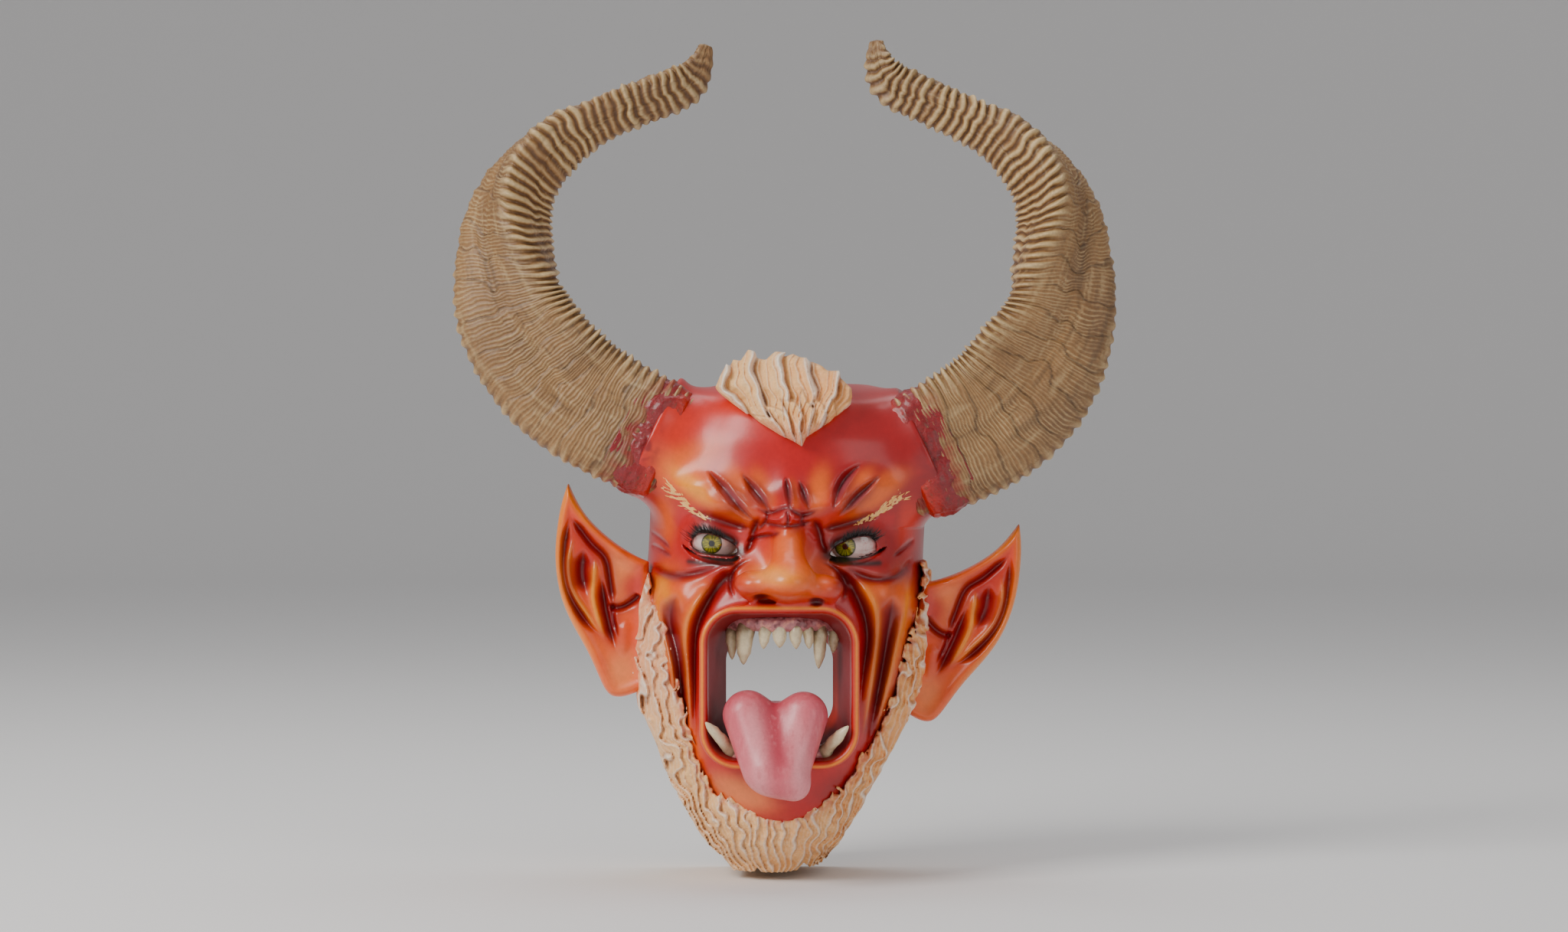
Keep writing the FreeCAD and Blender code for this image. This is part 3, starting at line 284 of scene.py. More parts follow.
def near_path(sheet, points, reach):
    """Distance from a smooth path, the share along it, and the side, in the window around it."""
    curve = spline(points, 6 * (len(points) - 1) + 1)
    window = sheet.window(curve, reach)
    x = sheet.x[window[0]][:, None]
    z = sheet.z[window[1]][None, :]
    best = np.full((x.shape[0], z.shape[1]), 1e9)
    share = np.zeros_like(best)
    side = np.zeros_like(best)
    for i in range(len(curve) - 1):
        start, step = curve[i], curve[i + 1] - curve[i]
        along = ((x - start[0]) * step[0] + (z - start[1]) * step[1]) / (step @ step)
        along = np.clip(along, 0, 1)
        dx = x - start[0] - along * step[0]
        dz = z - start[1] - along * step[1]
        distance = np.hypot(dx, dz)
        closer = distance < best
        best = np.where(closer, distance, best)
        share = np.where(closer, (i + along) / (len(curve) - 1), share)
        side = np.where(closer, np.sign(step[0] * dz - step[1] * dx), side)
    return window, best, share, side


def polygon_distance(sheet, points):
    """Distance to a closed outline, negative inside."""
    corners = np.asarray(points, float)
    x = sheet.x[:, None]
    z = sheet.z[None, :]
    best = np.full((len(sheet.x), len(sheet.z)), 1e9)
    inside = np.zeros(best.shape, bool)
    for start, end in zip(corners, np.roll(corners, -1, axis=0)):
        step = end - start
        along = ((x - start[0]) * step[0] + (z - start[1]) * step[1]) / (step @ step)
        along = np.clip(along, 0, 1)
        best = np.minimum(
            best, np.hypot(x - start[0] - along * step[0], z - start[1] - along * step[1])
        )
        if step[1] != 0:
            crossing = start[0] + (z - start[1]) / step[1] * step[0]
            spans = (start[1] <= z) != (end[1] <= z)
            inside ^= spans & (x < crossing)
    return np.where(inside, -best, best)


def taper(share, start, end):
    return ease(share, 0, start) * ease(1 - share, 0, end)


def stroke_width(widths, share, fade):
    """A stroke's half width along it, from its start width to its end width, narrow at the ends."""
    return (widths[0] + (widths[1] - widths[0]) * share) * (0.35 + 0.65 * fade)


def carve_stroke(sheet, heights, points, widths, height, ends=(0.15, 0.15)):
    """Adds a soft ridge, or a furrow if the height is negative, along a path with pointed ends."""
    window, distance, share, _ = near_path(sheet, points, 3 * max(widths))
    fade = taper(share, *ends)
    width = stroke_width(widths, share, fade)
    heights[window] += height * fade * np.exp(-((distance / width) ** 2) * 1.6)


def carve_gouge(sheet, heights, points, half_width, depth):
    """Cuts a V-shaped, lens-like gouge with crisp edges and a small lip."""
    window, distance, share, _ = near_path(sheet, points, 3 * half_width)
    width = half_width * np.clip(1.15 * np.sin(math.pi * share), 0, 1) ** 0.7 + 0.01
    cut = np.clip(1 - distance / width, 0, 1)
    lip = np.exp(-(((distance - width) / 1.3) ** 2)) * np.clip(np.sin(math.pi * share), 0, 1)
    heights[window] += 0.7 * lip - depth * cut * np.minimum(width / half_width, 1)


def paint_gouge(sheet, colours, points, half_width):
    """Painted shade as a crimson halo and a dark bottom line, and a painted reflection in pink-mauve on one
    side.
    """
    window, distance, share, side = near_path(sheet, points, 3 * half_width)
    lens = np.clip(np.sin(math.pi * share), 0, 1)
    width = half_width * np.clip(1.15 * lens, 0, 1) ** 0.7 + 0.01
    part = colours[window]
    # painted shade: a crimson halo round the gouge
    part = blend(part, CRIMSON, lens * np.exp(-((distance / (1.9 * width)) ** 2)) * 0.95)
    # painted reflection: pink-mauve on the gouge's facet that faces the light
    painted_reflection = lens * ease(width - distance, 0.0, 0.8) * ease(side, -1, 1)
    part = blend(part, REFLECTION_MAUVE, painted_reflection * 0.55)
    # painted shade: a dark line along the gouge's bottom
    part = blend(part, MAROON, lens**0.5 * np.exp(-((distance / 0.8) ** 2)) * 0.9)
    colours[window] = part


def paint_stroke(sheet, colours, points, widths, colour, strength=1.0, ends=(0.1, 0.1)):
    """Paints a soft line."""
    window, distance, share, _ = near_path(sheet, points, 3 * max(widths))
    fade = taper(share, *ends)
    width = stroke_width(widths, share, fade)
    mask = strength * fade * np.exp(-((distance / width) ** 2) * 1.4)
    colours[window] = blend(colours[window], colour, mask)


def scaled(widths, factor):
    return widths[0] * factor, widths[1] * factor


def paint_spot(sheet, colours, centre, radii, turn, colour, strength):
    """Paints a soft oval, turned by some degrees."""
    c, s = math.cos(math.radians(turn)), math.sin(math.radians(turn))
    x = sheet.x[:, None] - centre[0]
    z = sheet.z[None, :] - centre[1]
    along = (x * c + z * s) / radii[0]
    across = (-x * s + z * c) / radii[1]
    mask = strength * np.exp(-((along**2 + across**2) ** 1.5))
    colours[:] = blend(colours, colour, mask)


# ---------------------------------------------------------------- distance fields


class Field:
    """A block of distances to a surface, negative inside the solid."""

    def __init__(self, low, high, voxel):
        self.low = np.array(low, float)
        self.voxel = voxel
        counts = np.ceil((np.array(high) - low) / voxel).astype(int) + 1
        axes = [(low[a] + voxel * np.arange(counts[a])).astype(np.float32) for a in range(3)]
        self.x = axes[0][:, None, None]
        self.y = axes[1][None, :, None]
        self.z = axes[2][None, None, :]
        self.values = np.full(counts, 100.0, np.float32)

    def window(self, low, high):
        """Slices and coordinates of a part of the block."""
        slices = []
        for axis, values in enumerate((self.x.ravel(), self.y.ravel(), self.z.ravel())):
            first = np.searchsorted(values, low[axis])
            last = np.searchsorted(values, high[axis])
            slices.append(slice(first, max(last, first + 1)))
        a, b, c = slices
        return (a, b, c), self.x[a], self.y[:, b], self.z[:, :, c]

    def sample(self, values, points):
        """Values at points inside the block."""
        at = (points - self.low) / self.voxel
        at = np.clip(at, 0, np.array(values.shape) - 1.001)
        i = at.astype(int)
        f = at - i
        total = np.zeros(len(points))
        for corner in range(8):
            o = np.array([(corner >> axis) & 1 for axis in range(3)])
            share = np.prod(np.where(o, f, 1 - f), axis=1)
            total += share * values[i[:, 0] + o[0], i[:, 1] + o[1], i[:, 2] + o[2]]
        return total

    def surface(self):
        """Points and four-sided faces of the solid's skin, in millimetres."""
        band = 3 * self.voxel
        grid = openvdb.FloatGrid(band)
        grid.copyFromArray(np.ascontiguousarray(np.clip(self.values, -band, band)))
        points, quads = grid.convertToQuads(0.0)
        return points * self.voxel + self.low, quads[:, ::-1]


def ball(x, y, z, centre, radii):
    """Distance to an oval ball, close to true near its skin."""
    scaled = ((x - centre[0]) / radii[0]) ** 2
    scaled = scaled + ((y - centre[1]) / radii[1]) ** 2
    scaled = scaled + ((z - centre[2]) / radii[2]) ** 2
    return (np.sqrt(scaled) - 1) * min(radii)


def capsule(x, y, z, start, end, start_radius, end_radius):
    """Distance to a round bar that gets thinner or thicker along its length."""
    start, end = np.asarray(start, float), np.asarray(end, float)
    step = end - start
    along = (x - start[0]) * step[0] + (y - start[1]) * step[1] + (z - start[2]) * step[2]
    along = np.clip(along / (step @ step), 0, 1)
    dx = x - start[0] - along * step[0]
    dy = y - start[1] - along * step[1]
    dz = z - start[2] - along * step[2]
    return np.sqrt(dx**2 + dy**2 + dz**2) - (start_radius + (end_radius - start_radius) * along)


def rounded_box(x, z, half_x, half_z, corner):
    """Distance to a flat rectangle with round corners."""
    qx = np.abs(x) - half_x + corner
    qz = np.abs(z) - half_z + corner
    outside = np.hypot(np.maximum(qx, 0), np.maximum(qz, 0))
    return outside + np.minimum(np.maximum(qx, qz), 0) - corner


# ---------------------------------------------------------------- meshes and materials


def make_mesh(name, points, faces, colours, gloss=None):
    """A mesh object from points in millimetres, with its paint and its gloss at each point."""
    mesh = bpy.data.meshes.new(name)
    faces = np.asarray(faces, np.int32)
    sides = faces.shape[1]
    mesh.vertices.add(len(points))
    mesh.vertices.foreach_set("co", (np.asarray(points) * MM).astype(np.float32).ravel())
    mesh.loops.add(faces.size)
    mesh.loops.foreach_set("vertex_index", faces.ravel())
    mesh.polygons.add(len(faces))
    mesh.polygons.foreach_set("loop_start", np.arange(0, faces.size, sides, dtype=np.int32))
    mesh.polygons.foreach_set("use_smooth", np.full(len(faces), True))
    add_paint(mesh, colours, gloss)
    mesh.update(calc_edges=True)
    mesh.validate()
    made = bpy.data.objects.new(name, mesh)
    bpy.context.scene.collection.objects.link(made)
    return made


def add_paint(mesh, colours, gloss=None):
    layer = mesh.color_attributes.new("paint", "FLOAT_COLOR", "POINT")
    values = np.ones((len(colours), 4), np.float32)
    values[:, :3] = np.clip(colours, 0, 1)
    if gloss is not None:
        values[:, 3] = gloss
    layer.data.foreach_set("color", values.ravel())


def sweep_faces(rings, around):
    """Faces of a tube of rings; the points are stored ring after ring."""
    ring = np.arange(rings - 1)[:, None] * around
    here = np.arange(around)[None, :]
    after = (here + 1) % around
    faces = np.stack((ring + here, ring + after, ring + around + after, ring + around + here), axis=-1)
    return faces.reshape(-1, 4)


def finish_piece(piece, nodes, material):
    piece.data.materials.clear()
    piece.data.materials.append(material)
    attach(piece, "root")
    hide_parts(*nodes)
    return piece


def link(tree, source, target):
    tree.links.new(source, target)


def painted_material(name, roughness, coat, coat_roughness, grain, bump, vary=0.12, part_gloss=False):
    """The pieces' common build: the paint of each point, mottled and bumped by procedural grain.

    grain is the size of the mottling in millimetres, bump its height in millimetres."""
    material = bpy.data.materials.new(name)
    material.use_nodes = True
    tree = material.node_tree
    shader = tree.nodes["Principled BSDF"]
    shader.inputs["Roughness"].default_value = roughness
    shader.inputs["Coat Weight"].default_value = coat
    shader.inputs["Coat Roughness"].default_value = coat_roughness
    colour = tree.nodes.new("ShaderNodeVertexColor")
    colour.layer_name = "paint"
    if part_gloss:
        dulled = tree.nodes.new("ShaderNodeMapRange")
        dulled.inputs["To Min"].default_value = DULL_ROUGHNESS
        dulled.inputs["To Max"].default_value = roughness
        link(tree, colour.outputs["Alpha"], dulled.inputs["Value"])
        link(tree, dulled.outputs["Result"], shader.inputs["Roughness"])
        varnish = tree.nodes.new("ShaderNodeMapRange")
        varnish.inputs["To Max"].default_value = coat
        link(tree, colour.outputs["Alpha"], varnish.inputs["Value"])
        link(tree, varnish.outputs["Result"], shader.inputs["Coat Weight"])
    place = tree.nodes.new("ShaderNodeTexCoord")
    mottle = tree.nodes.new("ShaderNodeTexNoise")
    mottle.inputs["Scale"].default_value = 1 / (grain * MM)
    mottle.inputs["Detail"].default_value = 6
    mottle.inputs["Roughness"].default_value = 0.6
    link(tree, place.outputs["Object"], mottle.inputs["Vector"])
    levels = tree.nodes.new("ShaderNodeMapRange")
    levels.inputs["From Min"].default_value = 0.3
    levels.inputs["From Max"].default_value = 0.7
    levels.inputs["To Min"].default_value = 1 - vary
    levels.inputs["To Max"].default_value = 1 + vary * 0.6
    link(tree, mottle.outputs["Fac"], levels.inputs["Value"])
    mix = tree.nodes.new("ShaderNodeVectorMath")
    mix.operation = "SCALE"
    link(tree, colour.outputs["Color"], mix.inputs[0])
    link(tree, levels.outputs["Result"], mix.inputs["Scale"])
    link(tree, mix.outputs["Vector"], shader.inputs["Base Color"])
    rise = tree.nodes.new("ShaderNodeBump")
    rise.inputs["Strength"].default_value = 1.0
    rise.inputs["Distance"].default_value = bump * MM
    link(tree, mottle.outputs["Fac"], rise.inputs["Height"])
    link(tree, rise.outputs["Normal"], shader.inputs["Normal"])
    return material


def plain_material(name, colour, dark, roughness, metallic, grain, stretch=(1, 1, 1)):
    """Bare wood or metal: two tones mixed by a stretched grain."""
    material = bpy.data.materials.new(name)
    material.use_nodes = True
    tree = material.node_tree
    shader = tree.nodes["Principled BSDF"]
    shader.inputs["Roughness"].default_value = roughness
    shader.inputs["Metallic"].default_value = metallic
    place = tree.nodes.new("ShaderNodeTexCoord")
    mapping = tree.nodes.new("ShaderNodeMapping")
    mapping.inputs["Scale"].default_value = stretch
    link(tree, place.outputs["Object"], mapping.inputs["Vector"])
    mottle = tree.nodes.new("ShaderNodeTexNoise")
    mottle.inputs["Scale"].default_value = 1 / (grain * MM)
    mottle.inputs["Detail"].default_value = 5
    link(tree, mapping.outputs["Vector"], mottle.inputs["Vector"])
    ramp = tree.nodes.new("ShaderNodeValToRGB")
    ramp.color_ramp.elements[0].position = 0.35
    ramp.color_ramp.elements[0].color = (*dark, 1)
    ramp.color_ramp.elements[1].position = 0.65
    ramp.color_ramp.elements[1].color = (*colour, 1)
    link(tree, mottle.outputs["Fac"], ramp.inputs["Fac"])
    link(tree, ramp.outputs["Color"], shader.inputs["Base Color"])
    rise = tree.nodes.new("ShaderNodeBump")
    rise.inputs["Distance"].default_value = 0.2 * MM
    link(tree, mottle.outputs["Fac"], rise.inputs["Height"])
    link(tree, rise.outputs["Normal"], shader.inputs["Normal"])
    return material


# ---------------------------------------------------------------- the head's form


def head_profile(heights):
    """Half width, depth and sideways lean of the head at some heights, smoothed between its stations."""
    fine = np.arange(FACE_BOTTOM - 30, FACE_TOP + 30, 0.5)
    share = (fine - FACE_BOTTOM) / (FACE_TOP - FACE_BOTTOM)
    table = np.array(FACE_STATIONS)
    kernel = np.exp(-(np.arange(-16, 17) ** 2) / 60.0)
    kernel /= kernel.sum()
    results = []
    for column, size in ((1, HALF_WIDTH), (2, DEPTH)):
        values = np.interp(share, table[:, 0], table[:, column] * size)
        values = np.convolve(np.pad(values, 16, mode="edge"), kernel, mode="valid")
        results.append(np.interp(heights, fine, values))
    return results[0], results[1], -1 + 0.05 * heights


def oval_distance(x, y, lean, half_width, depth):
    """Distance to the head's squared oval section, negative inside."""
    power = SQUARENESS
    across = np.abs(x - lean) / half_width
    forward = np.maximum(BACK - y, 0) / depth
    level = (across**power + forward**power) ** (1 / power)
    slope = np.sqrt(
        (across ** (power - 1) / half_width) ** 2 + (forward ** (power - 1) / depth) ** 2
    )
    slope = slope * np.maximum(level, 0.05) ** (1 - power)
    return (level - 1) / np.maximum(slope, 0.5 / half_width)


def head_distance(x, y, z):
    half_width, depth, lean = head_profile(z.ravel())
    shape = z.shape
    half_width, depth, lean = (v.reshape(shape).astype(np.float32) for v in (half_width, depth, lean))
    sides = oval_distance(x, y, lean, half_width, depth + BACK)
    sides = smooth_max(sides, z - (FACE_TOP - 1), 14)
    return smooth_max(sides, FACE_BOTTOM - z, 8)


def hollow_distance(x, y, z):
    """Distance to the space behind the face, which is narrower between the horns."""
    half_width, depth, lean = head_profile(z.ravel())
    seat = ease(z.ravel(), 66, 80)
    half_width = half_width - WALL - (SEAT_WALL - WALL) * seat
    depth = depth - WALL
    shape = z.shape
    half_width, depth, lean = (v.reshape(shape).astype(np.float32) for v in (half_width, depth, lean))
    sides = oval_distance(x, y, lean, half_width, depth + BACK)
    sides = smooth_max(sides, z - (FACE_TOP - WALL), 10)
    return smooth_max(sides, FACE_BOTTOM + WALL + 2 - z, 8)


# ---------------------------------------------------------------- the face's strokes

# V-shaped gouges over the brows: half width, depth, and the path, across and up.
GOUGES = [
    (3.4, 4.2, [(-42, 87), (-33, 77), (-24.5, 67), (-15.5, 58.5)]),
    (3.0, 3.8, [(-23, 85), (-17, 77), (-11.5, 70), (-7, 64)]),
    (2.2, 3.0, [(1.2, 83), (2.2, 75), (3.6, 65)]),
    (2.2, 3.0, [(8.4, 81), (11, 73.5), (14, 65)]),
    (3.4, 4.2, [(42, 90), (34, 83), (29.5, 75), (26.5, 65)]),
    (3.0, 3.6, [(53, 84), (43.5, 76), (36, 69), (30, 62)]),
]
# Soft furrows: half widths at start and end, depth, how the ends taper, and the path.
GROOVES = [
    # nose wing to the lip's corner and down the mouth's side
    ((4.6, 2.2), 5.6, (0.12, 0.3),
     [(-26, 33), (-33, 26.5), (-41, 16), (-46.6, 3), (-48.2, -10), (-48.6, -32), (-48, -70)]),
    ((4.6, 2.2), 5.6, (0.12, 0.3),
     [(27.5, 33.5), (34.5, 26), (40, 17), (44, 6), (45, -8), (42.3, -28), (39.5, -62)]),
    # cheek furrows
    ((6.0, 2.2), 5.0, (0.2, 0.3),
     [(-57, 21), (-61.5, 11), (-61, -2), (-57.5, -17), (-56, -33), (-54.5, -52), (-55.5, -68)]),
    ((5.6, 2.2), 5.0, (0.2, 0.3), [(60, 19), (57.5, 4), (54, -18), (50, -40), (45, -68)]),
    ((3.0, 2.4), 2.6, (0.3, 0.3), [(-76, 16), (-73, -4), (-68, -22), (-63.5, -38), (-61, -54)]),
    ((2.6, 2.4), 2.4, (0.3, 0.4), [(75, 12), (70, -8), (63, -32), (56, -52)]),
    # under the eyes
    ((3.0, 2.2), 3.0, (0.2, 0.3), [(-76, 34), (-67, 30.5), (-57, 29), (-44, 31.5), (-30, 36.5)]),
    ((2.2, 3.0), 2.8, (0.25, 0.2), [(31, 35.5), (42, 29.5), (53, 27), (65, 31), (72, 40)]),
    ((1.8, 1.4), 2.4, (0.2, 0.3), [(-75, 45), (-68, 42.5), (-61, 38.5)]),
    ((1.4, 1.8), 2.2, (0.3, 0.2), [(59, 39), (65, 43), (73, 49)]),
    ((1.6, 1.2), 2.0, (0.2, 0.3), [(-76, 53), (-68, 48), (-62, 42.5)]),
    # between brow and eye, and beside the nose's bridge
    ((3.0, 2.2), 3.4, (0.3, 0.2), [(-54, 63), (-42, 61), (-29, 57), (-17, 55)]),
    ((2.2, 3.0), 3.4, (0.2, 0.3), [(20, 54.5), (31, 56.5), (43, 60), (55, 64)]),
    ((2.4, 2.0), 3.2, (0.2, 0.2), [(-13, 62), (-16, 55), (-17.5, 48), (-21, 41)]),
    ((2.4, 2.0), 3.2, (0.2, 0.2), [(15, 61), (19, 54), (20.5, 47), (24, 41)]),
    # knot of wrinkles between the brows
    ((1.5, 1.5), 2.8, (0.2, 0.2), [(-16, 67), (-7, 63.8), (1, 66.4), (6, 64), (12, 63), (20, 66)]),
    ((1.3, 1.3), 2.4, (0.2, 0.2), [(-13, 58.5), (-5, 57), (2, 56.5), (9, 57.5), (16, 59.5)]),
    ((1.1, 1.1), 2.4, (0.2, 0.2), [(1, 66), (2.4, 61), (1.5, 56)]),
    ((1.1, 1.1), 2.2, (0.2, 0.2), [(11, 64), (9.6, 60), (11, 56)]),
    ((1.1, 1.1), 2.0, (0.2, 0.2), [(-9, 64.5), (-9.6, 60), (-14, 54)]),
    ((1.3, 1.3), 1.8, (0.2, 0.2), [(-22, 47), (-14, 50.5), (-7, 51.5), (-1, 54)]),
    # over the nose wings
    ((1.8, 1.6), 2.8, (0.3, 0.3), [(-17, 38.5), (-24, 35.5), (-28, 30), (-29, 23), (-26, 16.5)]),
    ((1.8, 1.6), 2.8, (0.3, 0.3), [(19, 37.5), (27, 34), (32, 28), (33.5, 21), (30, 14.5)]),
]
RIDGES = [
    ((5.0, 2.6), 3.6, (0.15, 0.3),
     [(-36, 27), (-45, 17), (-52, 6), (-54, -8), (-52.4, -24), (-51.5, -42), (-51, -62)]),
    ((5.0, 2.6), 3.2, (0.15, 0.3), [(38, 28.5), (47, 18), (51, 3), (49.5, -16), (46, -38), (42, -62)]),
    ((4.6, 3.0), 3.2, (0.2, 0.3),
     [(-67, 27), (-69.5, 14), (-67, -1), (-62, -17), (-59.5, -34), (-58.5, -54)]),
    ((4.6, 3.0), 3.2, (0.2, 0.3), [(68, 28), (67, 10), (61, -12), (55.5, -34), (49.5, -60)]),
    ((2.6, 2.6), 2.8, (0.2, 0.3), [(-54, 40), (-46, 40.6), (-36, 41.4), (-26, 43)]),
    ((2.6, 2.6), 2.8, (0.2, 0.3), [(26, 42), (36, 41), (46, 41), (55, 42.5)]),
    ((1.9, 1.9), 2.2, (0.2, 0.2), [(-12, 62), (-6, 60.5), (0, 61.4)]),
    ((2.0, 2.0), 2.2, (0.2, 0.2), [(3.6, 62), (6.5, 60.4), (9, 61)]),
    ((1.7, 1.7), 2.0, (0.2, 0.2), [(-19, 50), (-11, 53.6), (-3, 54)]),
    ((1.7, 1.7), 2.0, (0.2, 0.2), [(12, 54.5), (15, 52), (18, 48)]),
]
# Soft painted ovals: centre, two reaches, turn in degrees, colour, strength.
SPOTS = [
    ((-30, 118), (26, 14), 20, RED_ORANGE, 0.55),
    ((-62, 104), (13, 24), -10, RED_ORANGE, 0.75),
    ((-52, 92), (22, 9), 30, ORANGE, 0.75),
    ((-50, 80), (24, 10), -38, ORANGE, 1.0),
    ((-50, 78), (15, 5.0), -38, YELLOW, 0.75),
    ((-26, 66), (16, 6), -38, ORANGE, 1.0),
    ((-26, 78), (7, 14), 30, ORANGE, 0.9),
    ((-12, 76), (6, 12), 22, ORANGE, 0.85),
    ((5.5, 73), (3, 8), 8, ORANGE, 0.75),
    ((19, 76), (6.5, 13), -12, ORANGE, 0.95),
    ((39, 77), (5, 13), -40, ORANGE, 1.0),
    ((47, 70), (22, 6), 36, ORANGE, 1.0),
    ((25, 60), (10, 4.5), 12, RED_ORANGE, 0.9),
    ((56, 80), (10, 6), 40, ORANGE, 0.6),
    ((-67, 58), (7, 15), 0, ORANGE, 0.85),
    ((69, 56), (7, 15), 0, RED_ORANGE, 0.8),
    ((-10, 44), (18, 10), 0, RED_ORANGE, 0.55),
    ((2, 46), (9, 10), 0, ORANGE, 0.85),
    ((2, 30), (27, 12), 0, ORANGE, 1.0),
    # painted highlight: a yellow and a peach oval on the nose's left side
    ((-4, 31), (12, 5), -8, YELLOW, 0.6),
    ((-8, 30), (10, 4), 0, PEACH, 0.5),
    ((-64, 18), (13, 17), 0, ORANGE, 1.0),
    ((-68, 20), (6, 12), 0, YELLOW, 0.75),
    ((-44, 26), (18, 5), 8, RED_ORANGE, 0.8),
    ((-48, 23), (10, 5), 15, ORANGE, 0.7),
    ((66, 10), (9, 20), 4, ORANGE, 0.95),
    ((50, 22), (10, 7), -10, ORANGE, 0.8),
    ((0, 6), (30, 5), 0, RED_ORANGE, 0.75),
    # painted highlight: a peach oval on the left of the chin
    ((-24, -88), (20, 9), -20, PEACH, 0.55),
    ((-50, -66), (7, 16), 0, ORANGE, 0.8),
    # painted shade: a deep red oval on the right of the chin
    ((30, -86), (16, 8), 20, DEEP_RED, 0.7),
]
# Red paint in folds that is wider than the carved line.
SHADES = [
    (9.0, CRIMSON, 0.75, [(54, -20), (51, -40), (47, -60)]),
    (5.0, RED, 0.9, [(-60, 56), (-50, 62), (-40, 58)]),
    (6.0, RED, 0.9, [(62, 60), (52, 60), (42, 58)]),
    (5.0, RED, 0.8, [(-50, 40), (-38, 41), (-24, 44)]),
    (5.0, RED, 0.8, [(26, 43), (40, 41), (54, 42)]),
]


def lid_edges(share):
    """Heights of the upper and lower lid over the eye's middle; share runs from -1 outside to 1 inside."""
    round_part = np.sqrt(np.clip(1 - share**2, 0, 1))
    corner = -5.2 - 1.6 * share
    upper = corner + round_part * (6.6 - 2.2 * share)
    lower = corner - 3.2 * round_part
    return upper, lower


def almond(side):
    """Points along the eye opening's upper and lower edges, from left to right."""
    x, z = EYES[side]
    inward = 1 if side == "left" else -1
    across = np.linspace(-1, 1, 9)
    edges = lid_edges(across * inward)
    return tuple(list(zip(x + across * LID_HALF_WIDTH, z + edge)) for edge in edges)


def raised(path, lift):
    return [(x, z + lift) for x, z in path]


def face_heights(sheet):
    """How far the carving stands out from the head's plain form."""
    x = sheet.x[:, None]
    z = sheet.z[None, :]
    heights = sheet.blank()
    for across, up, reach_x, reach_z, height in FACE_RELIEF:
        sides = (across, -across) if across > 5 else (across,)
        for centre in sides:
            heights += height * np.exp(-(((x - centre) / reach_x) ** 2) - ((z - up) / reach_z) ** 2)
    for widths, depth, ends, path in GROOVES:
        carve_stroke(sheet, heights, path, widths, -depth, ends)
    for widths, height, ends, path in RIDGES:
        carve_stroke(sheet, heights, path, widths, height, ends)
    for half_width, depth, path in GOUGES:
        carve_gouge(sheet, heights, path, half_width, depth)
    for side in EYES:
        upper, lower = almond(side)
        carve_stroke(sheet, heights, raised(upper, 1.8), (2.4, 2.4), 3.8)
        carve_stroke(sheet, heights, raised(lower, -2.0), (2.2, 2.2), 3.0)
    heights += 0.5 * sheet.noise(22, 5, 2)
    return heights


def face_colours(sheet):
    """The airbrushed paint of the face's front, with painted shade, painted highlights and painted
    reflections worked into it.
    """
    x = sheet.x[:, None]
    z = sheet.z[None, :]
    colours = np.zeros((len(sheet.x), len(sheet.z), 3)) + RED
    # painted shade: the right half is darkened toward deep red, as if the light fell from the left
    colours = blend(colours, DEEP_RED, ease(x + 0 * z, 10, 70) * 0.75)
    for centre, radii, turn, colour, strength in SPOTS:
        paint_spot(sheet, colours, centre, radii, turn, colour, strength)
    for width, colour, strength, path in SHADES:
        paint_stroke(sheet, colours, path, (width, width), colour, strength)
    for widths, _, ends, path in RIDGES[:4]:
        paint_stroke(sheet, colours, path, scaled(widths, 1.2), ORANGE, 1.0, ends)
        paint_stroke(sheet, colours, path, scaled(widths, 0.5), YELLOW, 0.5, ends)
    for widths, _, ends, path in RIDGES[4:]:
        paint_stroke(sheet, colours, path, scaled(widths, 1.2), RED, 0.9, ends)
    for widths, _, ends, path in GROOVES:
        paint_stroke(sheet, colours, path, scaled(widths, 1.5), DEEP_RED, 0.8, ends)
    for widths, _, ends, path in GROOVES:
        paint_stroke(sheet, colours, path, scaled(widths, 0.95), CRIMSON, 0.9, ends)
        paint_stroke(sheet, colours, path, scaled(widths, 0.3), MAROON, 0.6, ends)
    for half_width, _, path in GOUGES:
        paint_gouge(sheet, colours, path, half_width)
    paint_lips(sheet, colours)
    for side in EYES:
        upper, lower = almond(side)
        for edge, lift, width in ((upper, 1.9, 3.9), (lower, -0.4, 1.9)):
            paint_stroke(sheet, colours, raised(edge, lift), (width, width), BLACK, 1.0, (0.05, 0.05))
        inner = upper[-1] if side == "left" else upper[0]
        middle = SLIT_MIDDLE if side == "right" else -SLIT_MIDDLE
        # painted shade: a black line along each viewing slit
        slit = [(middle - 15, SLIT_HEIGHT + 1), (middle, SLIT_HEIGHT - 0.3), (middle + 15, SLIT_HEIGHT)]
        paint_stroke(sheet, colours, slit, (2.0, 2.0), BLACK, 0.9)
        paint_spot(sheet, colours, (inner[0], inner[1] - 0.5), (5.5, 4.0), 0, BLACK, 0.9)
    return colours


def paint_lips(sheet, colours):
    """A thin yellow line round the mouth's frame with red inside and outside it."""
    x = sheet.x[:, None] - MOUTH[0]
    z = sheet.z[None, :] - MOUTH[1]
    edge = rounded_box(x, z, 39.0, 40.0, 17.0)
    colours[:] = blend(colours, RED, np.exp(-(((edge - 1.0) / 4.5) ** 2)))
    colours[:] = blend(colours, CRIMSON, ease(-edge, -1.0, 3.0))
    line = np.exp(-(((edge - 2.6) / 1.1) ** 2))
    colours[:] = blend(colours, ORANGE, line * 0.95)
    colours[:] = blend(colours, YELLOW, np.exp(-(((edge - 2.6) / 0.55) ** 2)) * 0.7)


# ---------------------------------------------------------------- the face shell


def mouth_distance(x, y, z):
    """Distance to the mouth's tapering passage."""
    share = np.clip((-46 - y) / 51, 0, 1.15)
    return rounded_box(x - MOUTH[0], z - MOUTH[1], 29 + 10 * share, 27 + 13 * share, 16.0)


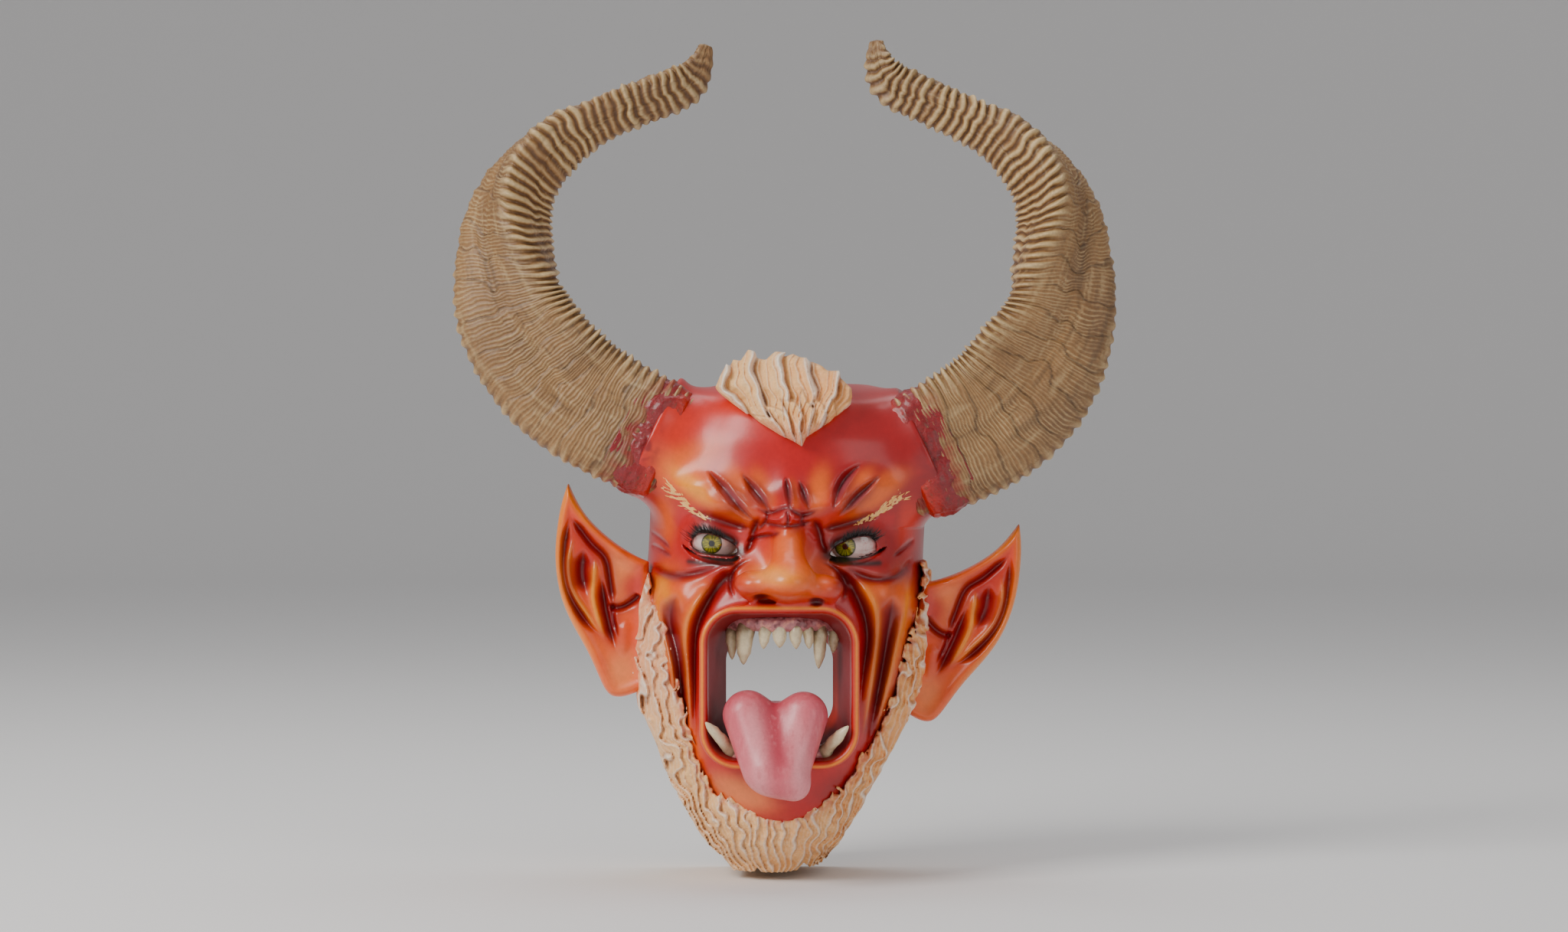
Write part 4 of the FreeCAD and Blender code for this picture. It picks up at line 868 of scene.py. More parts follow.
def sculpt_face(field, sheet, heights):
    x, y, z = field.x, field.y, field.z
    facing = np.clip((BACK - y) / DEPTH, 0, 1) ** 0.9
    relief = sheet.sample(heights, *np.broadcast_arrays(x[:, 0, :], z[:, 0, :]))
    relief = relief.astype(np.float32)[:, None, :]
    base = head_distance(x, y, z).astype(np.float32)
    outer = base - relief * facing
    for side in EYES:
        horn_seat(field, outer, side)
    nose(field, outer)
    for x0, z0 in EYES.values():
        window, wx, wy, wz = field.window((x0 - 22, -90, z0 - 22), (x0 + 22, -50, z0 + 22))
        radius = EYE_RADIUS + LID_THICKNESS
        lids = ball(wx, wy, wz, (x0, EYE_CENTRE_DEPTH, z0 - 1.5), (radius, radius, radius))
        outer[window] = smooth_min(outer[window], lids, 6)
    shell = np.maximum(outer, -hollow_distance(x, y, z).astype(np.float32))
    # the frame of the mouth, from the lips to the inside
    window, wx, wy, wz = field.window((-60, -126, -92), (56, -30, 32))
    mouth = mouth_distance(wx, wy, wz)
    frame_wall = smooth_max(mouth - 5.0, -97.5 - wy, 5)
    frame_wall = np.maximum(frame_wall, wy + 46)
    merged = smooth_min(shell[window], frame_wall, 6)
    shell[window] = smooth_max(merged, -mouth, 2.5)
    for side in EYES:
        cut_eye(field, shell, side)
        cut_slit(field, shell, side)
        cut_strap_hole(field, shell, side)
    nostrils(field, shell)
    shell = np.maximum(shell, y)
    field.values = shell
    return base


def horn_seat(field, outer, side):
    """The skin swells out to meet the horn and ends in a flat seat round it."""
    sign = -1 if side == "left" else 1
    drop = 0 if side == "left" else -8
    reach = 73 if side == "left" else 78
    low, high = (-97, -90, 55), (-18, 6, 146)
    if sign > 0:
        low, high = (18, -90, 55), (97, 6, 146)
    window, x, y, z = field.window(low, high)
    flat_y = (y + 35.5) * 1.2
    start = (sign * 46, 0, 92 + drop)
    end = (sign * (reach + 6), 0, 109 + drop)
    seat = capsule(x, flat_y, z, start, end, 28, 38.0)
    stop = sign * (x - sign * reach) * 0.9 + (z - 107 - drop) * 0.43
    seat = smooth_max(seat, stop, 3)
    outer[window] = smooth_min(outer[window], seat, 18)


def nose(field, outer):
    window, x, y, z = field.window((-40, -126, 5), (44, -50, 78))
    form = ball(x, y, z, (NOSE_MIDDLE, -100, 27), (15, 22, 10.5))
    bridge = capsule(x, y, z, (2, -80, 60), (NOSE_MIDDLE, -104, 33), 7.5, 9.5)
    form = smooth_min(form, bridge, 7)
    for side in (-1, 1):
        lift = -1.2 * side
        wing = ball(x, y, z, (NOSE_MIDDLE + 18 * side, -94, 24 + lift), (11.5, 15, 8))
        form = smooth_min(form, wing, 4)
    outer[window] = smooth_min(outer[window], form, 3)


def nostril_place(side):
    """Across and up; side is -1 on the left and 1 on the right."""
    return NOSE_MIDDLE + 14.8 * side, 16.8 - 1.0 * side


def nostrils(field, shell):
    window, x, y, z = field.window((-25, -122, 8), (32, -85, 32))
    for side in (-1, 1):
        across, up = nostril_place(side)
        hole = ball(x, y, z, (across, -105, up), (4.8, 9, 2.6))
        shell[window] = smooth_max(shell[window], -hole, 1.5)


def cut_eye(field, shell, side):
    x0, z0 = EYES[side]
    inward = 1 if side == "left" else -1
    window, x, y, z = field.window((x0 - 22, -95, z0 - 18), (x0 + 22, -45, z0 + 16))
    across = (x - x0) / LID_HALF_WIDTH * inward + 0 * y
    upper, lower = lid_edges(np.clip(across, -1, 1))
    opening = np.maximum(z - z0 - upper, lower - z + z0) * 0.8
    opening = np.maximum(opening, (np.abs(across) - 1) * 6)
    shell[window] = smooth_max(shell[window], -opening, 1.2)


def cut_slit(field, shell, side):
    sign = -1 if side == "left" else 1
    x0 = sign * SLIT_MIDDLE
    window, x, y, z = field.window((x0 - 20, -100, 30), (x0 + 20, -45, 46))
    across = (x - x0) / 16.0
    middle = SLIT_HEIGHT - sign * across + 0.8 * (across**2 - 0.4) + SLIT_SLOPE * (y + 80)
    gap = 1.6 * np.clip(1 - across**4, 0, 1) ** 0.5
    slot = np.maximum(np.abs(z - middle) - gap, (np.abs(across) - 1) * 8)
    shell[window] = np.maximum(shell[window], -slot)


def cut_strap_hole(field, shell, side):
    sign = -1 if side == "left" else 1
    height = STRAP_HOLE_HEIGHTS[side]
    low, high = sorted((sign * 60, sign * 96))
    window, x, y, z = field.window((low, -52, height - 10), (high, -32, height + 10))
    bore = np.hypot(y - STRAP_HOLE_DEPTH, z - height) - STRAP_HOLE_RADIUS + 0 * x
    shell[window] = smooth_max(shell[window], -bore, 0.8)


def face_paint(points, field, sheet, colours, base):
    """The paint at each point of the shell: airbrushed outside, with painted shade in the viewing slits and
    a painted reflection in the mouth, bare carved wood inside.
    """
    x, y, z = points.T
    result = sheet.sample(colours, x, z)
    # the sides are plain red going darker to the back
    side = ease(y, -58, -30)
    fade = 0.5 + 0.5 * noise(points, 26, 3, 2)
    tone = blend(flood(points, RED), DEEP_RED, fade)
    result = blend(result, tone, side * 0.7)
    # the red paint creeps onto the horn seats, darker and blotchy
    reach = np.minimum(np.hypot(x + 82, (z - 106) * 0.7), np.hypot(x - 85, (z - 99) * 0.7))
    blotch = ease(-reach, -19, -8) * ease(noise(points, 5, 8, 3), -0.35, 0.25)
    result = blend(result, CRIMSON, blotch * 0.85)
    result = mouth_paint(points, result)
    for side in (-1, 1):
        across, up = nostril_place(side)
        centre = np.array((across, -104, up))
        deep = np.sqrt((((points - centre) / (5.0, 10, 2.9)) ** 2).sum(axis=1))
        result = blend(result, MAROON, ease(-deep, -1.15, -0.75))
    under = field.sample(base, points)
    for side in (-1, 1):
        # painted shade: black on the walls of the viewing slits
        across = ease(-np.abs(x - side * SLIT_MIDDLE), -17, -14)
        middle = SLIT_HEIGHT + SLIT_SLOPE * (y + 80)
        painted_slit_shade = across * ease(-np.abs(z - middle), -3.6, -2.6) * ease(-under, -1.0, 0.5)
        result = blend(result, BLACK, painted_slit_shade * (y < -60))
    # bare wood wherever the point is under the skin by more than half of the wall
    hidden = ease(-under, WALL * 0.55, WALL * 0.8) * (1 - in_mouth(points))
    at_rim = ease(y, -1.2, -0.4) * ease(-under, 1.0, 2.0)
    grain = 0.5 + 0.5 * noise(points * (1, 0.35, 0.12), 2.2, 12, 3)
    wood = blend(flood(points, BARE_WOOD), DARK_WOOD, grain)
    bare = np.maximum(hidden, at_rim)
    in_passage = ease(-mouth_distance(x, y, z), -1.2, 0.2) * ease(y, -95, -90)
    gloss = (1 - bare) * (1 - 0.85 * in_passage)
    return blend(result, wood, bare), gloss


def in_mouth(points):
    """1 at points on the mouth's passage, fading to 0 behind its wall."""
    x, y, z = points.T
    distance = mouth_distance(x, y, z)
    return ease(-distance, -1.8, -0.2) * ease(-y, 44, 48)


def mouth_paint(points, result):
    x, y, z = points.T
    distance = mouth_distance(x, y, z)
    inside = ease(-distance, -1.2, 0.2) * ease(y, -97, -93)
    mouth_colour_with_reflection = blend(flood(points, DEEP_RED), CRIMSON, 0.5 + 0.5 * noise(points, 12, 4, 2))
    sides = np.abs(x - MOUTH[0]) > 24
    # painted reflection: mauve on the passage's side walls, over the crimson tones
    painted_reflection_walls = 0.6 * ease(z, -52, -20) * ease(-z, -2, 12) * sides * ease(-y, 50, 62)
    mouth_colour_with_reflection = blend(mouth_colour_with_reflection, REFLECTION_MAUVE, painted_reflection_walls * (0.34 + 0.3 * noise(points, 9, 6, 3)))
    right_back = ease(x, 18, 24) * ease(y, -66, -56)
    mouth_colour_with_reflection = blend(mouth_colour_with_reflection, RED_ORANGE, right_back * 0.8)
    return blend(result, mouth_colour_with_reflection, inside)


def build_face(sheet, heights, colours):
    field = Field((-97, -126, -136), (97, 3, 146), FACE_VOXEL)
    base = sculpt_face(field, sheet, heights)
    points, quads = field.surface()
    colour, gloss = face_paint(points, field, sheet, colours, base)
    piece = make_mesh("carved_face", points, quads, colour, gloss=gloss)
    material = painted_material("red_airbrush", 0.42, 0.45, 0.2, 3.0, 0.06, 0.08, part_gloss=True)
    finish_piece(piece, ["face_shell"], material)
    return field, base


def front_surface(field):
    """For each column of the field, where its skin first meets a line from the viewer."""
    solid = field.values < 0
    first = solid.argmax(axis=1)
    return np.where(solid.any(axis=1), field.y.ravel()[first], 0.0)


# ---------------------------------------------------------------- paste hair: beard and tuft


def lock_pattern(phase, sharp=0.14):
    """Height, edge and crevice of overlapping locks, from a phase that counts them; the edges are lightened
    as painted highlight, the crevices darkened as a wash and painted shade.
    """
    f = phase - np.floor(phase)
    height = np.where(f < 1 - sharp, (f / (1 - sharp)) ** 1.3, (1 - f) / sharp)
    edge = np.exp(-(((f - (1 - sharp)) / 0.10) ** 2))
    crevice = np.exp(-((np.minimum(f, 1 - f) / 0.09) ** 2))
    return height, edge, crevice


BEARD_OUTSIDE = [
    (-75, 31), (-80, 17), (-83, -6), (-85, -25), (-84, -42), (-77, -53), (-71, -66), (-67, -78), (-62, -90),
    (-54, -102), (-47, -116), (-35, -126.5), (-28, -134), (-16, -133.6), (-14.5, -131), (-12, -133.8),
    (7, -133.6), (11, -129.4), (14, -132.5), (23.6, -132), (29.5, -128), (34, -115), (41, -104), (47, -93),
    (52, -83), (59, -70), (70, -50.5), (73, -46), (78, -30), (81, -6), (82, 6), (83, 30), (79, 36),
]
BEARD_INSIDE = [
    (77, 35), (75, 7), (67, -12), (59.5, -35), (48.5, -62), (43, -71), (37, -80), (27.5, -90), (14.5, -99),
    (0, -103), (-12, -100.5), (-22, -95), (-39, -87), (-48.5, -68), (-53, -52), (-57.5, -32), (-61, -18),
    (-65, -1), (-72.5, 15),
]
# Half width of the beard at some heights.
BEARD_WIDTHS = [(-134, 30), (-116, 46), (-90, 61), (-66, 72), (-42, 83), (-25, 85), (35, 79)]


def beard_flow(sheet):
    """A number that is the same along each lock: they run down beside the outline and meet at the chin."""
    x = sheet.x[:, None]
    heights, widths = zip(*BEARD_WIDTHS)
    return (x + 3) / np.interp(sheet.z, heights, widths)[None, :]


def build_beard(face_field, base):
    sheet = Sheet((-98, -146), (98, 50))
    flow = beard_flow(sheet)
    z = sheet.z[None, :]
    wobble = 0.10 * sheet.noise(14, 31, 2) + 0.04 * sheet.noise(5, 32, 1)
    phase = flow * 10 + wobble * 12
    height, edge, crevice = lock_pattern(phase)
    fine, fine_edge, fine_crevice = lock_pattern(flow * 34 + wobble * 16)
    fray = 3.2 * (height - 0.5) + 1.6 * (fine - 0.5)
    ragged = 2.6 * sheet.noise(3.2, 33, 2)
    outside = polygon_distance(sheet, BEARD_OUTSIDE + BEARD_INSIDE)
    _, inner, _, _ = near_path(sheet, BEARD_INSIDE, 400)
    chin = ease(-z, 88, 112)
    thick = 4.0 + 1.6 * ease(inner, 0, 12) + 2.0 * chin
    thick += (3.0 * height + 1.1 * fine + 0.6 * sheet.noise(2.5, 34, 2)) * ease(inner, -3, 6)
    region = outside + (ragged + fray) * np.exp(-((inner / 7) ** 2))
    window, x, y, z = face_field.window((-96, -112, -140), (96, 3, 44))
    corner = (x.ravel()[0], y.ravel()[0], z.ravel()[0])
    field = Field(corner, corner, face_field.voxel)
    field.x, field.y, field.z = x, y, z
    here = base[window]
    places = np.broadcast_arrays(x[:, 0, :], z[:, 0, :])
    over = sheet.sample(thick, *places).astype(np.float32)[:, None, :]
    bound = sheet.sample(region, *places).astype(np.float32)[:, None, :]
    solid = smooth_max(here - over, bound, 2.0)
    solid = np.maximum(solid, -(here + 3.0))
    for side, sign in (("left", -1), ("right", 1)):
        bore = np.hypot(y - STRAP_HOLE_DEPTH, z - STRAP_HOLE_HEIGHTS[side]) - STRAP_HOLE_RADIUS - 2.0
        solid = smooth_max(solid, np.minimum(-bore, sign * x), 1.5)
    field.values = np.maximum(solid, y).astype(np.float32)
    points, quads = field.surface()
    x, _, z = points.T
    colour = flood(points, CREAM)
    right = ease(x, -25, 45)
    # painted light: pinker toward the lit left, and the ochre tone stronger toward the right as painted
    # shade
    colour = blend(colour, PASTE_PINK, (1 - right) * ease(z, -75, -15) * 0.45)
    colour = blend(colour, OCHRE, (0.25 + 0.75 * right) * (0.45 + 0.4 * noise(points, 10, 41, 2)))
    edge_highlight = sheet.sample(edge, x, z)
    fine_edge_highlight = sheet.sample(fine_edge, x, z)
    crevice_wash_and_shade = sheet.sample(crevice, x, z)
    colour = blend(colour, OCHRE, sheet.sample(fine_crevice, x, z) * 0.5)
    # a brown wash in the locks' crevices, deepened as painted shade
    colour = blend(colour, PASTE_BROWN, crevice_wash_and_shade * (0.55 + 0.45 * noise(points, 6, 42, 2)))
    # painted highlight: white on the locks' edges
    colour = blend(colour, WHITE_PASTE, edge_highlight * 0.75 + fine_edge_highlight * 0.35)
    root = np.exp(-((sheet.sample(np.abs(inner), x, z) / 3.2) ** 2))
    colour = blend(colour, RED, root * ease(noise(points, 2.5, 43, 2), -0.2, 0.3) * 0.6)
    piece = make_mesh("paste_beard", points, quads, colour)
    finish_piece(piece, ["beard"], MATERIALS["paste"])


TUFT_OUTLINE = [
    (-38.4, 132), (-34, 139), (-28.4, 149), (-24, 147.5), (-19.6, 152.5), (-14, 149.5), (-10, 148),
    (-4.6, 151.8), (0, 150.5), (5.4, 151.8), (9, 148.5), (12, 147.5), (16, 147.5), (21, 144.8), (24, 142),
    (30.5, 140),
    (34, 136), (37, 131.6), (37, 127), (35.5, 122.8), (25, 113), (12, 104.5), (9.8, 99.4), (5, 102.5),
    (-1.7, 105.5), (-13, 112.5), (-24.2, 120.7), (-33, 127),
]


def build_tuft():
    sheet = Sheet((-46, 90), (46, 162))
    x = sheet.x[:, None]
    z = sheet.z[None, :]
    outline = polygon_distance(sheet, TUFT_OUTLINE)
    bend = 9 * np.sin((z - 95) / 20.0)
    fan = np.arctan2(x - 8 + bend * ease(-x + 0 * z, -18, 22), z - 84)
    wobble = 0.20 * sheet.noise(16, 51, 2) + 0.03 * sheet.noise(5, 52, 1)
    height, edge, crevice = lock_pattern(fan * 4.2 + wobble * 2.6 + 0.3, 0.10)
    fine, fine_edge, fine_crevice = lock_pattern(fan * 15 + wobble * 9)
    far = np.hypot(x - 8, z - 92)
    upper = lock_pattern(fan * 5.5 - wobble * 3.0 + 0.6, 0.10)
    over = ease(far + 9 * (upper[0] - 0.6) + 3 * sheet.noise(9, 58, 1), 33, 29)
    height = height * (1 - over) + (upper[0] + 0.75) * over
    edge = edge * (1 - over) + upper[1] * over
    crevice = crevice * (1 - over) + upper[2] * over
    crevice = np.maximum(crevice, 0.8 * np.exp(-(((over - 0.35) / 0.22) ** 2)))
    outline = outline + 2.6 * (0.55 - height * (1 - over)) * ease(z + 0 * x, 112, 124)
    bulge = np.clip(-outline / 22, 0, 1) ** 0.6
    thick = 6 + 6 * bulge + 6.5 * (height - 0.45) * ease(-outline, -2, 5) + 2.0 * fine
    thick += 0.6 * sheet.noise(2.5, 53, 2)
    field = Field((-46, -100, 92), (46, -38, 160), SMALL_VOXEL)
    places = np.broadcast_arrays(field.x[:, 0, :], field.z[:, 0, :])
    deep = sheet.sample(thick, *places).astype(np.float32)[:, None, :]
    bound = sheet.sample(outline, *places).astype(np.float32)[:, None, :]
    middle = -75 + (field.z - 100) * 0.42
    front = (middle - field.y) - deep
    behind = (field.y - middle) - 9
    solid = smooth_max(bound, np.maximum(front, behind) * 0.92, 4.0)
    field.values = solid.astype(np.float32)
    points, quads = field.surface()
    x, y, z = points.T
    colour = flood(points, CREAM)
    # ochre tone, stronger toward the right as painted shade
    colour = blend(colour, OCHRE, ease(x, -15, 35) * 0.5 + 0.2 * noise(points, 9, 55, 2))
    colour = blend(colour, PASTE_PINK, ease(-z, -118, -104) * 0.5)
    depth = 0.85 + 0.3 * noise(points, 7, 56, 2)
    # a brown wash in the locks' crevices, deepened as painted shade
    colour = blend(colour, PASTE_BROWN, sheet.sample(crevice, x, z) * depth)
    lit = sheet.sample(edge, x, z) * 0.9 + sheet.sample(fine_edge, x, z) * 0.3
    colour = blend(colour, WHITE_PASTE, lit)
    colour = blend(colour, OCHRE, sheet.sample(fine_crevice, x, z) * 0.55)
    piece = make_mesh("paste_tuft", points, quads, colour)
    finish_piece(piece, ["hair_tuft"], MATERIALS["paste"])


# ---------------------------------------------------------------- ears

# The left ear as seen from the front, across from its root and up. The right one is its mirror image.
EAR_OUTLINE = [
    (7, 36), (-1, 39.5), (-13.6, 47.6), (-26.9, 60), (-34.5, 72), (-38.4, 80.9), (-42.5, 68), (-45.2, 52),
    (-45.7, 33), (-40.5, 9.5), (-28.5, -13.5), (-20.5, -31), (-14, -39.5), (-4, -39), (7, -34),
]
EAR_TIP = 5  # the place of the tip in the outline
EAR_ROOT = -82.0
EAR_FRONT = -36.0
EAR_THICK = 15.0
RIGHT_EAR_ROOT = (76.3, -12.2)
RIGHT_EAR_TURN = math.radians(12.7)
EAR_GROOVES = [
    ((2.6, 2.6), 4.2, (0.2, 0.25),
     [(-37, 61), (-39.6, 50), (-40.8, 38), (-39.6, 24), (-34.6, 11.5), (-27.6, 1.5), (-19.5, -6.5)]),
    ((2.4, 2.4), 4.0, (0.15, 0.15),
     [(-37, 61), (-30.5, 52.5), (-24.2, 44.5), (-17.8, 38), (-15.4, 29), (-14.2, 20), (-13, 11)]),
    ((4.2, 4.2), 5.0, (0.3, 0.3), [(-29.2, 43.5), (-30.4, 34), (-30.2, 26), (-27.4, 16)]),
    ((2.8, 2.8), 5.2, (0.35, 0.3), [(-20, 29), (-18.6, 16), (-15.4, 0), (-11.4, -14)]),
    ((1.5, 1.5), 3.2, (0.2, 0.4), [(-13.5, 13), (-13, 3), (-9.8, -8)]),
    ((2.4, 2.4), 4.0, (0.15, 0.1), [(-16.5, 12), (-10, 10), (-2.6, 13.5), (2, 17.5)]),
]
EAR_RIDGES = [
    ((2.4, 2.4), 2.4, (0.2, 0.3),
     [(-34.6, 50), (-38, 38), (-38, 27), (-34.6, 17), (-28.4, 8), (-23, 0), (-17.6, -7)]),
    ((2.4, 2.4), 2.0, (0.2, 0.3), [(-23, 38), (-23.6, 28), (-24, 15), (-20.6, 2), (-17, -9)]),
    ((3.4, 3.4), 1.6, (0.2, 0.2), [(-34, 70), (-24, 56), (-13, 45), (-4, 36)]),
    ((4.0, 4.0), 1.8, (0.3, 0.3), [(-5.5, 4), (-7, -6), (-8, -18)]),
]
EAR_SPOTS = [
    ((-10, 28), (12, 14), 30, PEACH, 0.55),
    ((-8, -26), (11, 15), 0, PEACH, 0.65),
    ((-2, 22), (7, 8), 0, RED, 0.8),
    ((5, 25), (6, 20), 0, RED, 0.7),
    ((-27, 26), (13, 30), 8, RED, 0.95),
    ((-17, 4), (8, 18), 20, RED, 0.8),
]


def ear_outline():
    """Two smooth sides that meet in the sharp tip."""
    up = spline(EAR_OUTLINE[: EAR_TIP + 1], 24)
    down = spline(EAR_OUTLINE[EAR_TIP:], 44)
    return np.concatenate((up, down[1:]))


def ear_field(sheet, outline, heights):
    field = Field((-51, -44, -46), (12, -14, 88), SMALL_VOXEL)
    places = np.broadcast_arrays(field.x[:, 0, :], field.z[:, 0, :])
    bound = sheet.sample(outline, *places).astype(np.float32)[:, None, :]
    rise = sheet.sample(heights, *places).astype(np.float32)[:, None, :]
    # the ear is dished: its rim stands forward of its middle, and its back is rounded
    rim = np.exp(-(((bound + 3.2) / 3.6) ** 2)) * 2.2
    front = (EAR_FRONT + 1.2 - field.y) - rise - rim
    back = field.y - (EAR_FRONT + EAR_THICK) + 0.02 * (field.x + 20) ** 2 * 0.25
    solid = smooth_max(bound + 0.4, front, 5.5)
    solid = smooth_max(solid, back + 0 * front, 6.0)
    field.values = solid.astype(np.float32)
    return field


def ear_colours(sheet, outline):
    colours = np.zeros((len(sheet.x), len(sheet.z), 3)) + RED_ORANGE
    colours = blend(colours, ORANGE, ease(sheet.noise(30, 61, 1), -0.9, 0.3))
    for spot in EAR_SPOTS:
        paint_spot(sheet, colours, *spot)
    for widths, _, ends, path in EAR_RIDGES[:2]:
        paint_stroke(sheet, colours, path, scaled(widths, 1.8), ORANGE, 0.9, ends)
        paint_stroke(sheet, colours, path, scaled(widths, 0.7), YELLOW, 0.9, ends)
    for widths, _, ends, path in EAR_GROOVES:
        paint_stroke(sheet, colours, path, scaled(widths, 1.7), DEEP_RED, 0.85, ends)
        paint_stroke(sheet, colours, path, scaled(widths, 1.0), CRIMSON, 0.95, ends)
        paint_stroke(sheet, colours, path, scaled(widths, 0.3), MAROON, 0.5, ends)
    rim = np.exp(-(((outline + 1.0) / 2.6) ** 2))
    outer = ease(-sheet.x[:, None] + 0 * sheet.z[None, :], 18, 34)
    colours = blend(colours, ORANGE, rim * 0.9)
    colours = blend(colours, YELLOW, rim * outer * 0.45)
    tip = ease(sheet.z[None, :] + 0 * sheet.x[:, None], 74, 80)
    return blend(colours, CRIMSON, tip * 0.6)


def build_ears():
    sheet = Sheet((-54, -50), (14, 92))
    outline = polygon_distance(sheet, ear_outline())
    heights = sheet.blank()
    for widths, depth, ends, path in EAR_GROOVES:
        carve_stroke(sheet, heights, path, widths, -depth, ends)
    for widths, height, ends, path in EAR_RIDGES:
        carve_stroke(sheet, heights, path, widths, height, ends)
    colours = ear_colours(sheet, outline)
    field = ear_field(sheet, outline, heights)
    points, quads = field.surface()
    colour = sheet.sample(colours, points[:, 0], points[:, 2])
    back = ease(points[:, 1], EAR_FRONT + 6, EAR_FRONT + 11)
    colour = blend(colour, RED_ORANGE, back * 0.85)
    left = points + (EAR_ROOT, 0, 0)
    piece = make_mesh("carved_ear_left", left, quads, colour)
    finish_piece(piece, ["ear_left"], MATERIALS["ear"])
    c, s = math.cos(RIGHT_EAR_TURN), math.sin(RIGHT_EAR_TURN)
    x, y, z = -points[:, 0], points[:, 1], points[:, 2]
    right_x, right_z = RIGHT_EAR_ROOT
    right = np.stack((right_x + x * c + z * s, y, right_z - x * s + z * c), axis=1)
    # painted shade: the right ear is made a little redder than the left, as if less lit
    shaded_right_ear_colour = blend(colour, RED, np.full(len(colour), 0.15))
    piece = make_mesh("carved_ear_right", right, quads[:, ::-1], shaded_right_ear_colour)
    finish_piece(piece, ["ear_right"], MATERIALS["ear"])


# ---------------------------------------------------------------- horns

# Out from the middle, forward, up, half width, half depth, twist in degrees: from the root to the tip.
HORN_STATIONS = [
    (50, 35, 94, 25, 18.5, 0),
    (75, 35, 105.5, 32, 25.5, 0),
    (111, 35.5, 125.5, 34.5, 26.5, 2),
    (136.5, 36.5, 150, 34, 26, 10),
    (151.5, 37.5, 176.5, 31, 25, 30),
    (155.5, 38, 203.9, 27.5, 23.5, 60),
    (154, 38, 227.6, 24.5, 22, 88),
    (146.5, 37, 246.5, 21, 20.5, 116),
    (134, 35.5, 261.5, 18, 18.5, 138),
    (116, 33, 275, 14.5, 16, 153),
    (92.2, 30.5, 286.5, 12.3, 13.5, 160),
    (70.5, 28, 294.7, 11.8, 12.2, 162),
    (54.5, 26, 302.5, 10.8, 10.5, 163),
    (46.5, 24.5, 313.5, 7, 7, 164),
    (43.5, 23.5, 324, 3.4, 3.4, 165),
]
HORN_CORNER = 0.16
HORN_TIP_RISE = 1.2
HORN_LAST = len(HORN_STATIONS) - 1
HORN_TURN_SHARE = 0.6  # how much of the twist shows in the horn's own pattern


def horn_rows(side):
    """The stations in the frame's axes; the right horn droops and is a little wider at its root."""
    sign = -1 if side == "left" else 1
    rows = []
    for i, (out, forward, up, half_width, half_depth, twist) in enumerate(HORN_STATIONS):
        if side == "right":
            droop = min(1.0, max(0.0, (5 - i) / 3))
            end = max(0.0, (i - 10) / 4)
            out += 5 * droop + 8 * end
            up += -9 * droop + 2.5 * end
            half_width *= 1.08 if i < 4 else 1.0
        rows.append((sign * out, -forward, up, half_width, half_depth, twist))
    return rows


def horn_rings(side, count, around, first, last):
    """Centre, outward, ahead, sizes and angles of the rings along a horn, evenly spaced."""
    sign = -1 if side == "left" else 1
    fine = spline(horn_rows(side), 1400)
    index = np.linspace(0, HORN_LAST, len(fine))
    keep = (index >= first) & (index <= last)
    fine, index = fine[keep], index[keep]
    length = np.concatenate(([0], np.cumsum(np.linalg.norm(np.diff(fine[:, :3], axis=0), axis=1))))
    even = np.linspace(0, length[-1], count)
    rows = np.stack([np.interp(even, length, fine[:, c]) for c in range(6)], axis=1)
    station = np.interp(even, length, index)
    centre = rows[:, :3]
    along = np.gradient(centre, axis=0)
    along /= np.linalg.norm(along, axis=1)[:, None]
    ahead = np.array((0.0, -1.0, 0.0)) - along * (along @ (0, -1, 0))[:, None]
    ahead /= np.linalg.norm(ahead, axis=1)[:, None]
    outward = np.cross(along, ahead) * -sign
    turn = np.linspace(0, 2 * math.pi, around, endpoint=False)
    return centre, outward, ahead, rows, station, even, turn


def horn_points(side, count, around, grow=0.0, first=0.0, last=HORN_LAST):
    """Plain points of a horn's skin, with the length and the twisted angle at each."""
    centre, outward, ahead, rows, station, even, turn = horn_rings(side, count, around, first, last)
    own = turn[None, :] - HORN_TURN_SHARE * np.radians(rows[:, 5])[:, None]
    reach = 1 + HORN_CORNER * np.cos(3 * (own - math.radians(30)))
    across = reach * np.cos(turn)[None, :]
    deep = reach * np.sin(turn)[None, :]
    for values in (across, deep):
        low, high = values.min(axis=1)[:, None], values.max(axis=1)[:, None]
        values[:] = 2 * (values - low) / (high - low) - 1
    wide = across * (rows[:, 3][:, None] + grow)
    tall = deep * (rows[:, 4][:, None] + grow)
    radial = outward[:, None, :] * wide[..., None] + ahead[:, None, :] * tall[..., None]
    points = centre[:, None, :] + radial
    direction = radial / np.linalg.norm(radial, axis=2)[..., None]
    return points, direction, even, own, station


